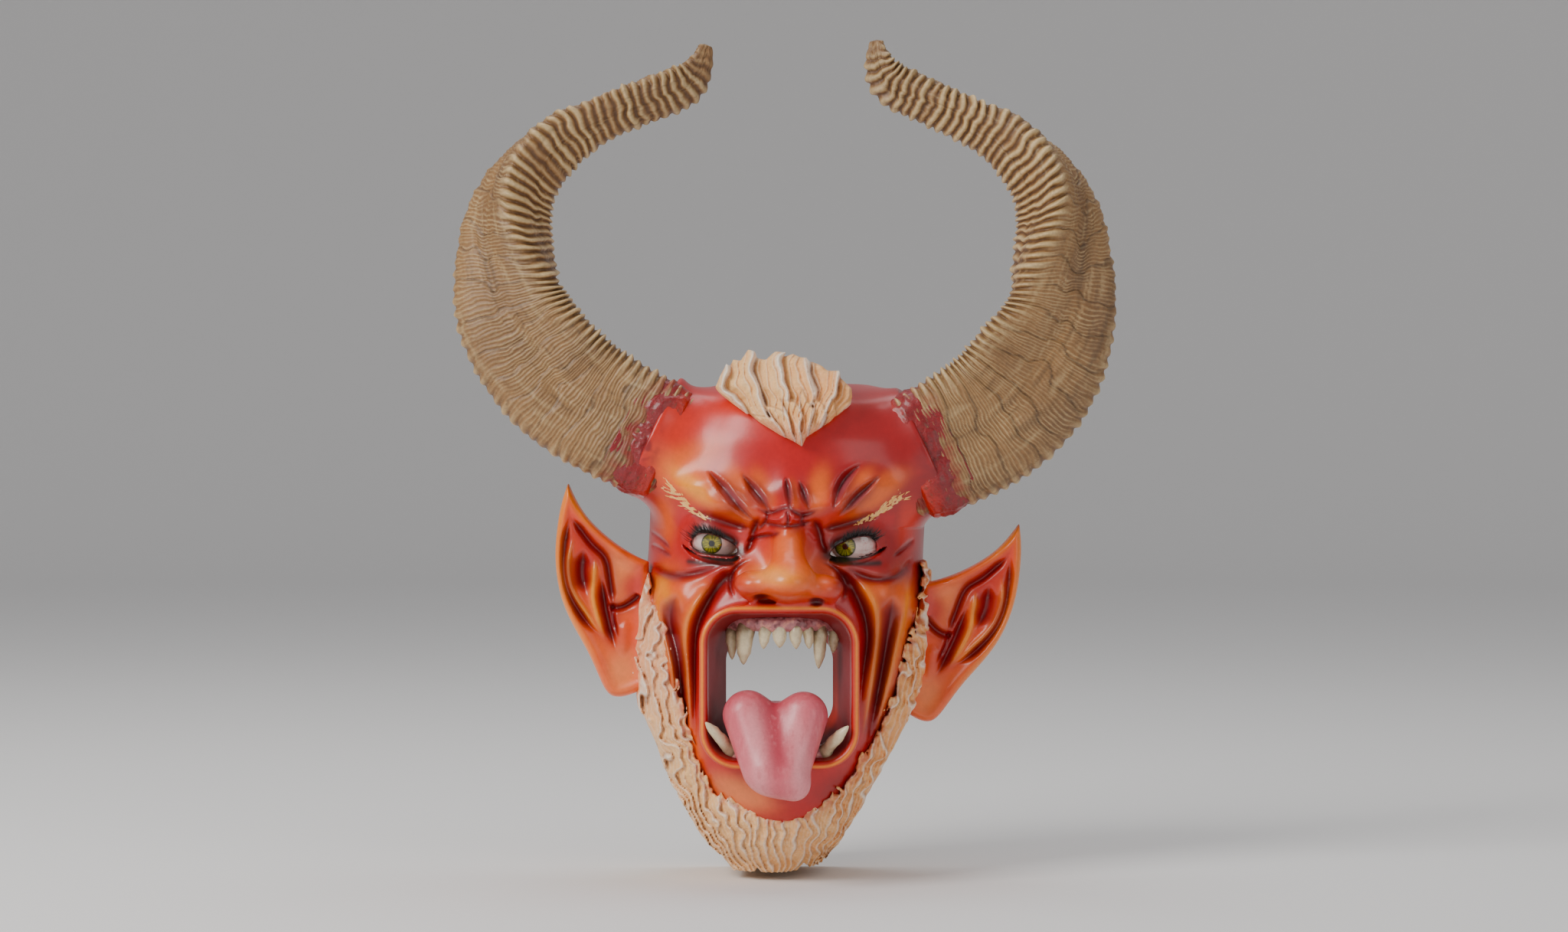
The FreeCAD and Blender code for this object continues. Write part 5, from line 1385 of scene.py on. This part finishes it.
def build_horn(side):
    count, around = ((760, 144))
    points, direction, length, own, station = horn_points(side, count, around)
    seed = 70 if side == "left" else 80
    s = np.broadcast_to(length[:, None], own.shape)
    circle = np.stack((s.ravel() / 9.0, 3 * np.cos(own).ravel(), 3 * np.sin(own).ravel()), axis=1)
    warp = noise(circle, 1.0, seed, 2).reshape(own.shape)
    slow = noise(circle * (0.3, 0.5, 0.5), 1.0, seed + 1, 2).reshape(own.shape)
    # face A-B, which looks at the viewer at the root, carries fine lines; the others are corrugated
    smooth_face = ease(np.cos(own - math.radians(90)), 0.30, 0.75)
    near_root = 1 - ease(s, 20, 70)
    phase = s / 5.6 + 0.20 * warp + 0.55 * slow + 0.35 * np.cos(own)
    f = phase - np.floor(phase)
    wave = 0.5 - 0.5 * np.cos(2 * math.pi * f**0.8)
    each = lattice(np.floor(phase).astype(np.int64).reshape(-1, 1), seed + 2).reshape(own.shape)
    coarse = wave * (0.9 + 0.35 * each)
    fine_phase = s / 1.9 + 1.3 * warp + 1.6 * slow
    fine = 0.5 - 0.5 * np.cos(2 * math.pi * fine_phase)
    step_phase = s / 15.0 + 0.8 * slow + 0.25 * warp
    g = step_phase - np.floor(step_phase)
    terrace = g - ease(g, 0.85, 1.0)
    strip = np.stack((s.ravel() / 26.0, 16 * np.cos(own).ravel(), 16 * np.sin(own).ravel()), axis=1)
    fibre = noise(strip, 1.0, seed + 4, 2).reshape(own.shape)
    girth = ease(s, 0, 60) * 0.4 + 0.6
    station = station[:, None] + 0 * own
    tip_fade = 1 - 0.75 * ease(station, 12.6, 13.6)
    strong = (1 - smooth_face) * tip_fade
    rise = strong * (2.0 * coarse - 1.0) * girth
    rise += smooth_face * (0.55 * fine - 0.2 + 1.5 * (terrace - 0.4) + 0.35 * coarse)
    rise -= 3.2 * ease(np.sin(own), 0.4, 1.0) * ease(s, 20, 60) * (1 - ease(station, 9, 11))
    rise += 0.35 * fibre + 0.9 * slow * smooth_face + near_root * 0.5 * warp
    keel = np.exp(-(((np.degrees(own) - 30 + 180) % 360 - 180) / 13) ** 2)
    rise += keel * (2.0 * coarse + 0.4) * tip_fade
    points = points + direction * rise[..., None]
    colour = np.zeros((*own.shape, 3)) + HORN_TAN
    # painted highlight: pale on the crests of the corrugations
    colour = blend(colour, HORN_PALE, strong * ease(coarse, 0.35, 0.95) * 0.75)
    colour = blend(colour, HORN_BROWN, strong * ease(-coarse, -0.42, -0.05) * 0.85)
    colour = blend(colour, HORN_BROWN, smooth_face * (0.34 + 0.6 * slow))
    # painted highlight: pale on the crests of the fine growth lines
    colour = blend(colour, HORN_PALE, smooth_face * ease(fine, 0.55, 1.0) * (0.30 + 0.3 * warp))
    colour = blend(colour, HORN_DARK, smooth_face * ease(g, 0.88, 1.0) * 0.55)
    colour = blend(colour, HORN_DARK, ease(fibre, 0.25, 0.6) * 0.32)
    colour = blend(colour, HORN_PALE, ease(-fibre, 0.25, 0.6) * 0.25)
    # painted highlight: pale on the keel's crests
    colour = blend(colour, HORN_PALE, keel * ease(coarse, 0.3, 0.8) * 0.6)
    colour = blend(colour, HORN_BROWN, ease(station, 8.5, 12.5) * 0.30)
    red = (1 - ease(s + 7 * warp, 28, 46)) * 0.85
    patches = noise(circle * 3, 1.0, seed + 6, 2).reshape(own.shape)
    colour = blend(colour, DEEP_RED, red * ease(patches, -0.5, 0.3))
    flat = points.reshape(-1, 3)
    faces = sweep_faces(count, around)
    ends = centre_cap(points)
    ends[0, 2] += HORN_TIP_RISE
    colour = np.vstack((colour.reshape(-1, 3), HORN_BROWN, HORN_BROWN))
    triangles = cap_triangles(count, around)
    piece = sweep_mesh(f"ram_horn_{side}", np.vstack((flat, ends)), faces, triangles, colour)
    finish_piece(piece, [f"horn_{side}"], MATERIALS["horn"])


def sweep_mesh(name, points, quads, triangles, colours):
    """A mesh of quads and end triangles, facing outward."""
    mesh = bpy.data.meshes.new(name)
    faces = [tuple(q) for q in quads.tolist()] + [tuple(t) for t in triangles.tolist()]
    mesh.from_pydata((np.asarray(points) * MM).tolist(), [], faces)
    add_paint(mesh, colours)
    mesh.polygons.foreach_set("use_smooth", np.ones(len(faces), bool))
    mesh.update()
    if signed_volume(np.asarray(points), quads) < 0:
        mesh.flip_normals()
    made = bpy.data.objects.new(name, mesh)
    bpy.context.scene.collection.objects.link(made)
    return made


def signed_volume(points, quads):
    a, b, c, d = (points[quads[:, i]] for i in range(4))
    first = np.einsum("ij,ij->i", a, np.cross(b, c)).sum()
    second = np.einsum("ij,ij->i", a, np.cross(c, d)).sum()
    return first + second


def build_collar(side):
    """Lumpy red paste round the horn's root."""
    count, around = 60, 140
    points, direction, length, own, station = horn_points(side, count, around, 0.6, 0.5, 1.4)
    flat = points.reshape(-1, 3)
    seed = 90 if side == "left" else 95
    lumps = noise(flat, 4.0, seed, 3).reshape(own.shape)
    share = np.linspace(0, 1, count)[:, None] + 0 * own
    circle = np.stack((6 * np.cos(own).ravel(), 6 * np.sin(own).ravel()), axis=1)
    edge = 0.62 + 0.22 * noise(circle, 1.0, seed + 1, 3).reshape(own.shape)
    rise = (1.6 + 1.5 * lumps) * (1 - ease(share, edge - 0.18, edge)) * ease(share, 0, 0.1)
    rise -= 1.8 * ease(share, edge, edge + 0.12)
    rise -= 2.5 * (1 - ease(share, 0, 0.12))
    points = points + direction * rise[..., None]
    colour = np.zeros((*own.shape, 3)) + DEEP_RED
    colour = blend(colour, CRIMSON, ease(lumps, -0.3, 0.4))
    colour = blend(colour, RED_ORANGE, (1 - ease(share, 0.1, 0.45)) * 0.45)
    speck = ease(noise(flat, 1.5, seed + 3, 2), 0.35, 0.6).reshape(own.shape)
    colour = blend(colour, HORN_BROWN, speck * 0.6)
    flat = np.vstack((points.reshape(-1, 3), centre_cap(points)))
    colour = np.vstack((colour.reshape(-1, 3), CRIMSON, CRIMSON))
    faces = sweep_faces(count, around)
    piece = sweep_mesh(f"paste_collar_{side}", flat, faces, cap_triangles(count, around), colour)
    finish_piece(piece, [f"horn_collar_{side}"], MATERIALS["paste_red"])


def centre_cap(points):
    """The middles of the last ring and of the first."""
    return np.stack((points[-1].mean(axis=0), points[0].mean(axis=0)))


def cap_triangles(count, around):
    """Triangles that close a sweep's ends at two extra points: the last ring's middle, then the first's."""
    ring = np.arange(around)
    after = (ring + 1) % around
    last = (count - 1) * around
    end = count * around
    far = np.stack((last + ring, last + after, np.full(around, end)), axis=1)
    near = np.stack((after, ring, np.full(around, end + 1)), axis=1)
    return np.vstack((far, near))


def tube(path, radii, around, flatten=1.0, up=(0, 0, 1)):
    """Points and closing faces of a round sweep along a path."""
    path = np.asarray(path, float)
    along = np.gradient(path, axis=0)
    along /= np.linalg.norm(along, axis=1)[:, None] + 1e-9
    side = np.cross(along, up)
    side /= np.linalg.norm(side, axis=1)[:, None] + 1e-9
    lift = np.cross(side, along)
    turn = np.linspace(0, 2 * math.pi, around, endpoint=False)
    radii = np.asarray(radii, float)[:, None, None]
    turn = turn[None, :, None]
    ring = side[:, None, :] * np.cos(turn) + flatten * lift[:, None, :] * np.sin(turn)
    points = path[:, None, :] + ring * radii
    flat = np.vstack((points.reshape(-1, 3), centre_cap(points)))
    return flat, sweep_faces(len(path), around), cap_triangles(len(path), around)


# ---------------------------------------------------------------- mouth pieces

# Name, across, height of root and tip, sideways lean of the tip, radius.
UPPER_TEETH = [
    ("upper_molar_left", -28.6, 0.0, -16.3, 0.4, 3.7),
    ("upper_fang_left", -20.6, 1.5, -18.6, -1.4, 5.5),
    ("upper_incisor_1", -10.2, 1.8, -9.9, -1.0, 4.1),
    ("upper_incisor_2", -2.4, 2.6, -9.3, 0.0, 4.7),
    ("upper_incisor_3", 6.0, 2.4, -10.0, 0.6, 4.3),
    ("upper_incisor_4", 13.0, 1.4, -10.0, 0.6, 3.9),
    ("upper_fang_right", 20.0, 0.8, -21.0, -1.2, 4.5),
    ("upper_molar_right", 27.6, 0.0, -12.9, -1.0, 3.8),
]
TUSKS = [
    ("lower_tusk_left", (-24.5, -83, -69), (-42, -99.5, -48.5), 4.5),
    ("lower_tusk_right", (18.5, -83, -69), (34.5, -99.5, -50.5), 4.5),
]


def arch(across):
    """How far back the upper teeth stand, on a bow."""
    return -(84 - 0.0165 * (across - MOUTH[0]) ** 2)


def build_tooth(name, root, tip, radius, bow, seed, shoulder):
    rows, around = 26, 28
    share = np.linspace(0, 1, rows)
    root, tip = np.array(root, float), np.array(tip, float)
    path = root + (tip - root) * share[:, None]
    path[:, 1] -= bow * np.sin(math.pi * share)
    fat = np.interp(share, (0, 0.18, 0.42, 0.72, 0.93, 1), (0.86, 1.0, shoulder, 0.72, 0.34, 0.10))
    points, quads, triangles = tube(path, radius * fat, around, 0.9, (1, 0, 0))
    lumps = noise(points, radius * 0.9, seed, 2)
    middle = np.vstack((np.repeat(path, around, axis=0), path[-1], path[0]))
    outward = points - middle
    points = middle + outward * (1 + 0.22 * lumps[:, None])
    along = np.concatenate((np.repeat(share, around), (1, 0)))
    colour = flood(points, TOOTH)
    grime = ease(0.62 - along + 0.32 * noise(points, 2.2, seed + 1, 3), 0.05, 0.62)
    colour = blend(colour, TOOTH_BROWN, grime * 0.85)
    front = ease(-outward[:, 1], 0.0, radius * 0.7)
    colour = blend(colour, TOOTH, front * ease(along, 0.15, 0.4) * 0.6)
    piece = sweep_mesh(f"carved_{name}", points, quads, triangles, colour)
    finish_piece(piece, [name], MATERIALS["tooth"])


def build_teeth():
    for seed, (name, across, root_up, tip_up, lean, radius) in enumerate(UPPER_TEETH, 110):
        depth = arch(across)
        root = (across, depth + 1.0, root_up + 1.5)
        tip = (across + lean, depth - 1.5, tip_up)
        build_tooth(name, root, tip, radius, 0.07 * (root_up - tip_up), seed, 0.92)
    for seed, (name, root, tip, radius) in enumerate(TUSKS, 130):
        build_tooth(name, root, tip, radius, 1.5, seed, 0.84)


def gum_piece(name, nodes, low, high, shape, seed):
    field = Field(low, high, 0.5)
    field.values = shape(field.x, field.y, field.z).astype(np.float32)
    where = np.stack([a.ravel() for a in np.broadcast_arrays(field.x, field.y, field.z)], axis=1)
    lumps = noise(where, 3.0, seed, 2).reshape(field.values.shape)
    field.values = (field.values - 0.9 * lumps).astype(np.float32)
    points, quads = field.surface()
    tone = noise(points, 2.4, seed + 1, 3)
    colour = flood(points, GUM)
    colour = blend(colour, GUM_DARK, ease(tone, 0.0, 0.5) * 0.75)
    colour = blend(colour, PASTE_PINK, ease(-tone, 0.15, 0.5) * 0.5)
    piece = make_mesh(name, points, quads, colour)
    finish_piece(piece, nodes, MATERIALS["gum"])


def upper_gum(x, y, z):
    ring = np.sqrt(((y - arch(x)) / 1.05) ** 2 + (z - 3.6) ** 2) - 4.4
    return np.maximum(ring, np.abs(x - MOUTH[0]) - 31)


def build_gums():
    gum_piece("paste_gum_upper", ["upper_gum"], (-36, -92, -4), (31, -62, 11), upper_gum, 140)
    for side, sign in (("left", -1), ("right", 1)):
        centre = (MOUTH[0] + sign * 22.5, -83, -67)

        def shape(x, y, z, centre=centre):
            return ball(x, y, z, centre, (9.5, 8, 5.5))

        low = (centre[0] - 13, -94, -76)
        high = (centre[0] + 13, -72, -58)
        gum_piece(f"paste_gum_lower_{side}", [f"lower_gum_{side}"], low, high, shape, 150 + sign)


def build_tongue():
    field = Field((-37, -124, -96), (30, -58, -24), SMALL_VOXEL)
    x, y, z = field.x, field.y, field.z
    left = capsule(x, y, z, (-19.5, -94, -45), (-10, -106, -73), 13.5, 12.5)
    right = capsule(x, y, z, (10.5, -94, -45.5), (2.5, -106.5, -75), 13.2, 11.0)
    tip = capsule(x, y, z, (-5, -105, -76), (6, -108.5, -82), 9, 7.2)
    root = ball(x, y, z, (-4.5, -72, -50), (27, 20, 11))
    form = smooth_min(left, right, 13.0)
    form = smooth_min(form, tip, 7.0)
    form = smooth_min(form, root, 6.0)
    groove = capsule(x, y, z, (-5.5, -112, -36), (-2.2, -123, -70), 5.0, 1.5)
    form = smooth_max(form, -groove, 9.0)
    field.values = form.astype(np.float32)
    points, quads = field.surface()
    x, y, z = points.T
    middle = -5.5 + 3.3 * ease(-z, 40, 70)
    in_groove = np.exp(-(((x - middle) / 5.0) ** 2)) * ease(-z, 30, 40) * (1 - ease(-z, 64, 80))
    colour = flood(points, TONGUE_PINK)
    crest = np.exp(-(((np.abs(x - middle) - 11) / 6.0) ** 2)) * ease(-y, 100, 112)
    colour = blend(colour, TONGUE_PALE, crest * 0.8)
    streak = noise(points * (1, 1, 0.25), 1.6, 160, 3)
    colour = blend(colour, TONGUE_DEEP, in_groove * 0.85)
    colour = blend(colour, TONGUE_DEEP, ease(y, -104, -84) * 0.75)
    colour = blend(colour, TONGUE_DEEP, ease(streak, 0.1, 0.6) * 0.25)
    colour = blend(colour, TONGUE_PALE, ease(-streak, 0.1, 0.6) * 0.25)
    piece = make_mesh("carved_tongue", points, quads, colour)
    finish_piece(piece, ["tongue"], MATERIALS["tongue"])


# ---------------------------------------------------------------- eyes


def build_eye(side):
    """A glossy painted dome with a flat back."""
    x0, z0 = EYES[side]
    gaze = -1.4 if side == "left" else -4.6
    rows, around = 90, 160
    tilt = np.linspace(0, math.radians(78), rows)
    turn = np.linspace(0, 2 * math.pi, around, endpoint=False)
    ring = np.sin(tilt)[:, None]
    points = np.stack(
        (
            x0 + EYE_RADIUS * ring * np.cos(turn)[None, :],
            EYE_CENTRE_DEPTH - EYE_RADIUS * np.cos(tilt)[:, None] + 0 * turn[None, :],
            z0 + EYE_RADIUS * ring * np.sin(turn)[None, :],
        ),
        axis=-1,
    ).reshape(-1, 3)
    dx, dz = points[:, 0] - x0 - gaze, points[:, 2] - z0 + 3.0
    distance = np.hypot(dx, dz)
    angle = np.arctan2(dz, dx)
    white = paint(0.86, 0.74, 0.71)
    colour = flood(points, white)
    veins = np.abs(noise(points, 2.6, 170, 3))
    blood = ease(-veins, -0.05, 0.0) * ease(distance, 6, 11)
    colour = blend(colour, paint(0.78, 0.20, 0.20), blood * 0.7)
    corner = ease(np.abs(points[:, 0] - x0), 7.5, 12.5)
    colour = blend(colour, paint(0.75, 0.25, 0.25), corner * 0.55)
    around_iris = np.stack((6 * np.cos(angle), 6 * np.sin(angle), distance * 0.35), axis=1)
    spokes = noise(around_iris, 1.0, 171, 3)
    iris = flood(points, paint(0.46, 0.45, 0.05))
    iris = blend(iris, paint(0.70, 0.66, 0.10), ease(spokes, -0.1, 0.5))
    iris = blend(iris, paint(0.30, 0.30, 0.05), ease(-spokes, 0.05, 0.5) * 0.8)
    iris = blend(iris, paint(0.10, 0.12, 0.05), ease(distance, 4.3, 5.6))
    inside = ease(-distance, -5.9, -5.5)
    colour = colour * (1 - inside[:, None]) + iris * inside[:, None]
    colour = blend(colour, BLACK, ease(-distance, -1.9, -1.5))
    shade = ease(points[:, 2] - z0, -2.5, 2.5)
    colour = blend(colour, (0.02, 0.01, 0.01), shade * 0.6)
    flat = np.vstack((points, (x0, EYE_CENTRE_DEPTH - 3, z0), (x0, EYE_CENTRE_DEPTH - EYE_RADIUS, z0)))
    colour = np.vstack((colour, white, white))
    quads = sweep_faces(rows, around)
    piece = sweep_mesh(f"glass_eye_{side}", flat, quads[around:], cap_triangles(rows, around), colour)
    finish_piece(piece, [f"eye_{side}"], MATERIALS["eye"])


def hairs(name, starts, ends, bow, radius, colour):
    """Tapered hairs, each along a bowed line, joined in one mesh."""
    steps, around = 7, 5
    share = np.linspace(0, 1, steps)
    points, quads, triangles = [], [], []
    total = 0
    for start, end in zip(starts, ends):
        path = np.asarray(start) + (np.asarray(end) - start) * share[:, None]
        path = path + np.asarray(bow) * np.sin(math.pi * share)[:, None]
        radii = radius * (1.02 - share) ** 0.6
        flat, q, t = tube(path, radii, around)
        points.append(flat)
        quads.append(q + total)
        triangles.append(t + total)
        total += len(flat)
    tones = np.tile(colour, (total, 1))
    return sweep_mesh(name, np.vstack(points), np.vstack(quads), np.vstack(triangles), tones)


LASH_COUNT = 70
BROW_STROKE_COUNT = 120


def build_lashes(side, front, face_field):
    rng = np.random.default_rng(5 if side == "left" else 6)
    upper, _ = almond(side)
    line = spline(upper, 200)
    outward = -1 if side == "left" else 1
    starts, ends = [], []
    for _ in range(LASH_COUNT):
        share = rng.random() ** 0.8 * 0.72
        at = line[int((share if side == "left" else 1 - share) * 199)]
        length = (4.2 + 3.6 * (1 - share / 0.72)) * (0.75 + 0.5 * rng.random())
        lean = math.radians(28 + 62 * share / 0.72 + 10 * rng.normal())
        direction = np.array((outward * math.cos(lean), -0.35, math.sin(lean)))
        depth = surface_depth(face_field, front, at[0], at[1] + 1.2) - 0.4
        start = np.array((at[0], depth, at[1] + 0.6))
        starts.append(start)
        ends.append(start + direction * length)
    piece = hairs(f"lashes_{side}", starts, ends, (0, -0.8, -0.3), 0.22, BLACK)
    finish_piece(piece, [f"upper_lash_{side}"], MATERIALS["lash"])


def surface_depth(field, front, x, z):
    i = int(round((x - field.low[0]) / field.voxel))
    k = int(round((z - field.low[2]) / field.voxel))
    return front[min(max(i, 0), front.shape[0] - 1), min(max(k, 0), front.shape[1] - 1)]


def build_brow_strokes(side, front, face_field):
    """Flat brush strokes of cream paint that fan out at the brow's outer end."""
    rng = np.random.default_rng(15 if side == "left" else 16)
    if side == "left":
        line = spline([(-39, 58), (-46, 62), (-53, 68), (-60, 74)], 60)
        outward, fan = -1, 62
    else:
        line = spline([(38, 56.5), (46, 60), (54, 65.5), (61, 71)], 60)
        outward, fan = 1, 55
    points, faces, colours = [], [], []
    for _ in range(BROW_STROKE_COUNT):
        share = rng.random() ** 0.75
        at = line[int(share * 59)]
        length = 5.5 + 6.5 * share * rng.random()
        lean = 35 + (fan - 35) * share * rng.random() + 7 * rng.normal() - 22 * share * rng.random()
        lean = math.radians(lean)
        spread = (0.6 + 2.6 * share) * (rng.random() - 0.5)
        start = at + np.array((outward * 0.5, -1)) * spread
        step = np.array((outward * math.cos(lean), math.sin(lean)))
        across = np.array((-step[1], step[0]))
        tone = blend(YELLOW * 0.8 + CREAM * 0.35, CREAM, np.array(rng.random()))
        first = len(points)
        for k in range(6):
            t = k / 5
            half = 0.42 * math.sin(math.pi * (0.12 + 0.86 * t)) ** 0.7
            for sign in (-1, 1):
                x, z = start + step * length * t + across * half * sign
                y = smooth_depth(face_field, x, z, front) - 0.32 - 0.1 * rng.random()
                points.append((x, y, z))
                colours.append(tone)
        for k in range(5):
            a = first + 2 * k
            faces.append((a, a + 1, a + 3, a + 2))
    piece = make_mesh(f"brow_strokes_{side}", np.array(points), np.array(faces), np.array(colours))
    finish_piece(piece, ["face_shell"], MATERIALS["brow"])


def smooth_depth(field, x, z, front):
    """The skin's depth at a place, between the field's grid lines."""
    i = (x - field.low[0]) / field.voxel
    k = (z - field.low[2]) / field.voxel
    i0, k0 = int(i), int(k)
    share_i, share_k = i - i0, k - k0
    low = front[i0, k0] * (1 - share_i) + front[i0 + 1, k0] * share_i
    high = front[i0, k0 + 1] * (1 - share_i) + front[i0 + 1, k0 + 1] * share_i
    return low * (1 - share_k) + high * share_k


# ---------------------------------------------------------------- stage


def build_stage():
    """A pale studio floor that bends up into a low wall far away, all round the mask."""
    low, _ = START_BOUNDS
    flat, bend, wall, around = 4.5, 2.0, 3.6, 96
    profile = [(flat / 2, 0.0)]
    quarter = np.linspace(0, math.pi / 2, 16)
    profile += [(flat + bend * math.sin(t), bend - bend * math.cos(t)) for t in quarter]
    profile.append((flat + bend, wall))
    turns = [2 * math.pi * n / around for n in range(around)]
    corners = [(r * math.cos(t), r * math.sin(t), z) for r, z in profile for t in turns]
    faces = [tuple(range(around))]
    for ring in range(len(profile) - 1):
        for n in range(around):
            a, b = ring * around + n, ring * around + (n + 1) % around
            faces.append((a, a + around, b + around, b))
    mesh = bpy.data.meshes.new("floor")
    mesh.from_pydata(corners, [], faces)
    mesh.polygons.foreach_set("use_smooth", [True] * len(faces))
    mesh.update()
    floor = bpy.data.objects.new("floor", mesh)
    floor.location.z = low.z - 0.004
    bpy.context.scene.collection.objects.link(floor)
    material = bpy.data.materials.new("pale_floor")
    material.use_nodes = True
    shader = material.node_tree.nodes["Principled BSDF"]
    shader.inputs["Base Color"].default_value = (0.84, 0.83, 0.82, 1)
    shader.inputs["Roughness"].default_value = 0.9
    mesh.materials.append(material)
    world = bpy.data.worlds.new("studio")
    bpy.context.scene.world = world
    world.use_nodes = True
    background = world.node_tree.nodes["Background"]
    background.inputs["Color"].default_value = (0.80, 0.80, 0.82, 1)
    background.inputs["Strength"].default_value = 0.5


def area_light(name, place, target, size, power, colour=(1, 1, 1)):
    data = bpy.data.lights.new(name, "AREA")
    data.shape = "RECTANGLE"
    data.size, data.size_y = size
    data.energy = power
    data.color = colour
    light = bpy.data.objects.new(name, data)
    light.location = place
    direction = Vector(target) - Vector(place)
    light.rotation_euler = direction.to_track_quat("-Z", "Y").to_euler()
    bpy.context.scene.collection.objects.link(light)


def build_lights():
    area_light("key", (-1.5, -1.2, 1.3), (0, 0, 0.05), (0.9, 1.3), 42, (1.0, 0.98, 0.96))
    area_light("fill", (1.8, -1.6, 0.5), (0, 0, 0.05), (1.4, 1.4), 9)
    area_light("top", (0.1, 0.3, 1.8), (0, 0, 0.1), (1.2, 0.8), 10)


def build_camera():
    data = bpy.data.cameras.new("camera")
    data.lens = 72.8
    data.sensor_width = 36
    camera = bpy.data.objects.new("camera", data)
    camera.location = (0, -1.8, 0.089)
    camera.rotation_euler = (math.radians(90), 0, 0)
    bpy.context.scene.collection.objects.link(camera)
    bpy.context.scene.camera = camera


# ---------------------------------------------------------------- everything

MATERIALS = {
    "ear": painted_material("orange_airbrush", 0.42, 0.45, 0.2, 3.0, 0.06, 0.08),
    "paste": painted_material("cream_paste", 0.5, 0.15, 0.3, 1.6, 0.35, 0.14),
    "paste_red": painted_material("red_paste", 0.35, 0.4, 0.2, 1.4, 0.6, 0.25),
    "horn": painted_material("horn", 0.5, 0.1, 0.4, 1.8, 0.30, 0.22),
    "tooth": painted_material("tooth", 0.3, 0.35, 0.2, 1.2, 0.15, 0.12),
    "gum": painted_material("gum", 0.3, 0.4, 0.15, 1.2, 0.35, 0.15),
    "tongue": painted_material("tongue", 0.38, 0.3, 0.25, 1.5, 0.12, 0.08),
    "eye": painted_material("glass_eye", 0.1, 1.0, 0.02, 2.0, 0.0, 0.03),
    "lash": painted_material("lash", 0.4, 0.2, 0.3, 1.0, 0.02, 0.1),
    "brow": painted_material("brow_paint", 0.45, 0.2, 0.3, 1.0, 0.05, 0.1),
}
STEEL, DARK_STEEL = (0.55, 0.55, 0.56), (0.30, 0.29, 0.28)
PINE, DARK_PINE = (0.58, 0.40, 0.23), (0.38, 0.24, 0.12)
BEECH, DARK_BEECH = (0.66, 0.49, 0.30), (0.47, 0.32, 0.18)
INSIDE_MATERIALS = {
    "horn_screws": plain_material("screw_steel", STEEL, DARK_STEEL, 0.35, 1.0, 2.0),
    "horn_plug_left": plain_material("plug_wood", PINE, DARK_PINE, 0.7, 0.0, 6.0, (1, 1, 6)),
    "ear_dowels": plain_material("dowel_wood", BEECH, DARK_BEECH, 0.65, 0.0, 4.0, (1, 6, 6)),
}


def build_inside():
    """The fastenings keep their CAD shapes and get a finish."""
    for name in ("horn_screws", "horn_plug_left", "horn_plug_right", "ear_dowels", "tongue_peg"):
        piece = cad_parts[name]
        key = "horn_plug_left" if name in ("horn_plug_right", "tongue_peg") else name
        piece.data.materials.clear()
        piece.data.materials.append(INSIDE_MATERIALS[key])


def build():
    sheet = Sheet((-99, -142), (99, 150))
    heights = face_heights(sheet)
    colours = face_colours(sheet)
    face_field, base = build_face(sheet, heights, colours)
    front = front_surface(face_field)
    build_beard(face_field, base)
    build_tuft()
    build_ears()
    for side in EYES:
        build_horn(side)
        build_collar(side)
        build_eye(side)
        build_lashes(side, front, face_field)
        build_brow_strokes(side, front, face_field)
    build_teeth()
    build_gums()
    build_tongue()
    build_inside()
    build_stage()
    build_lights()
    build_camera()


build()
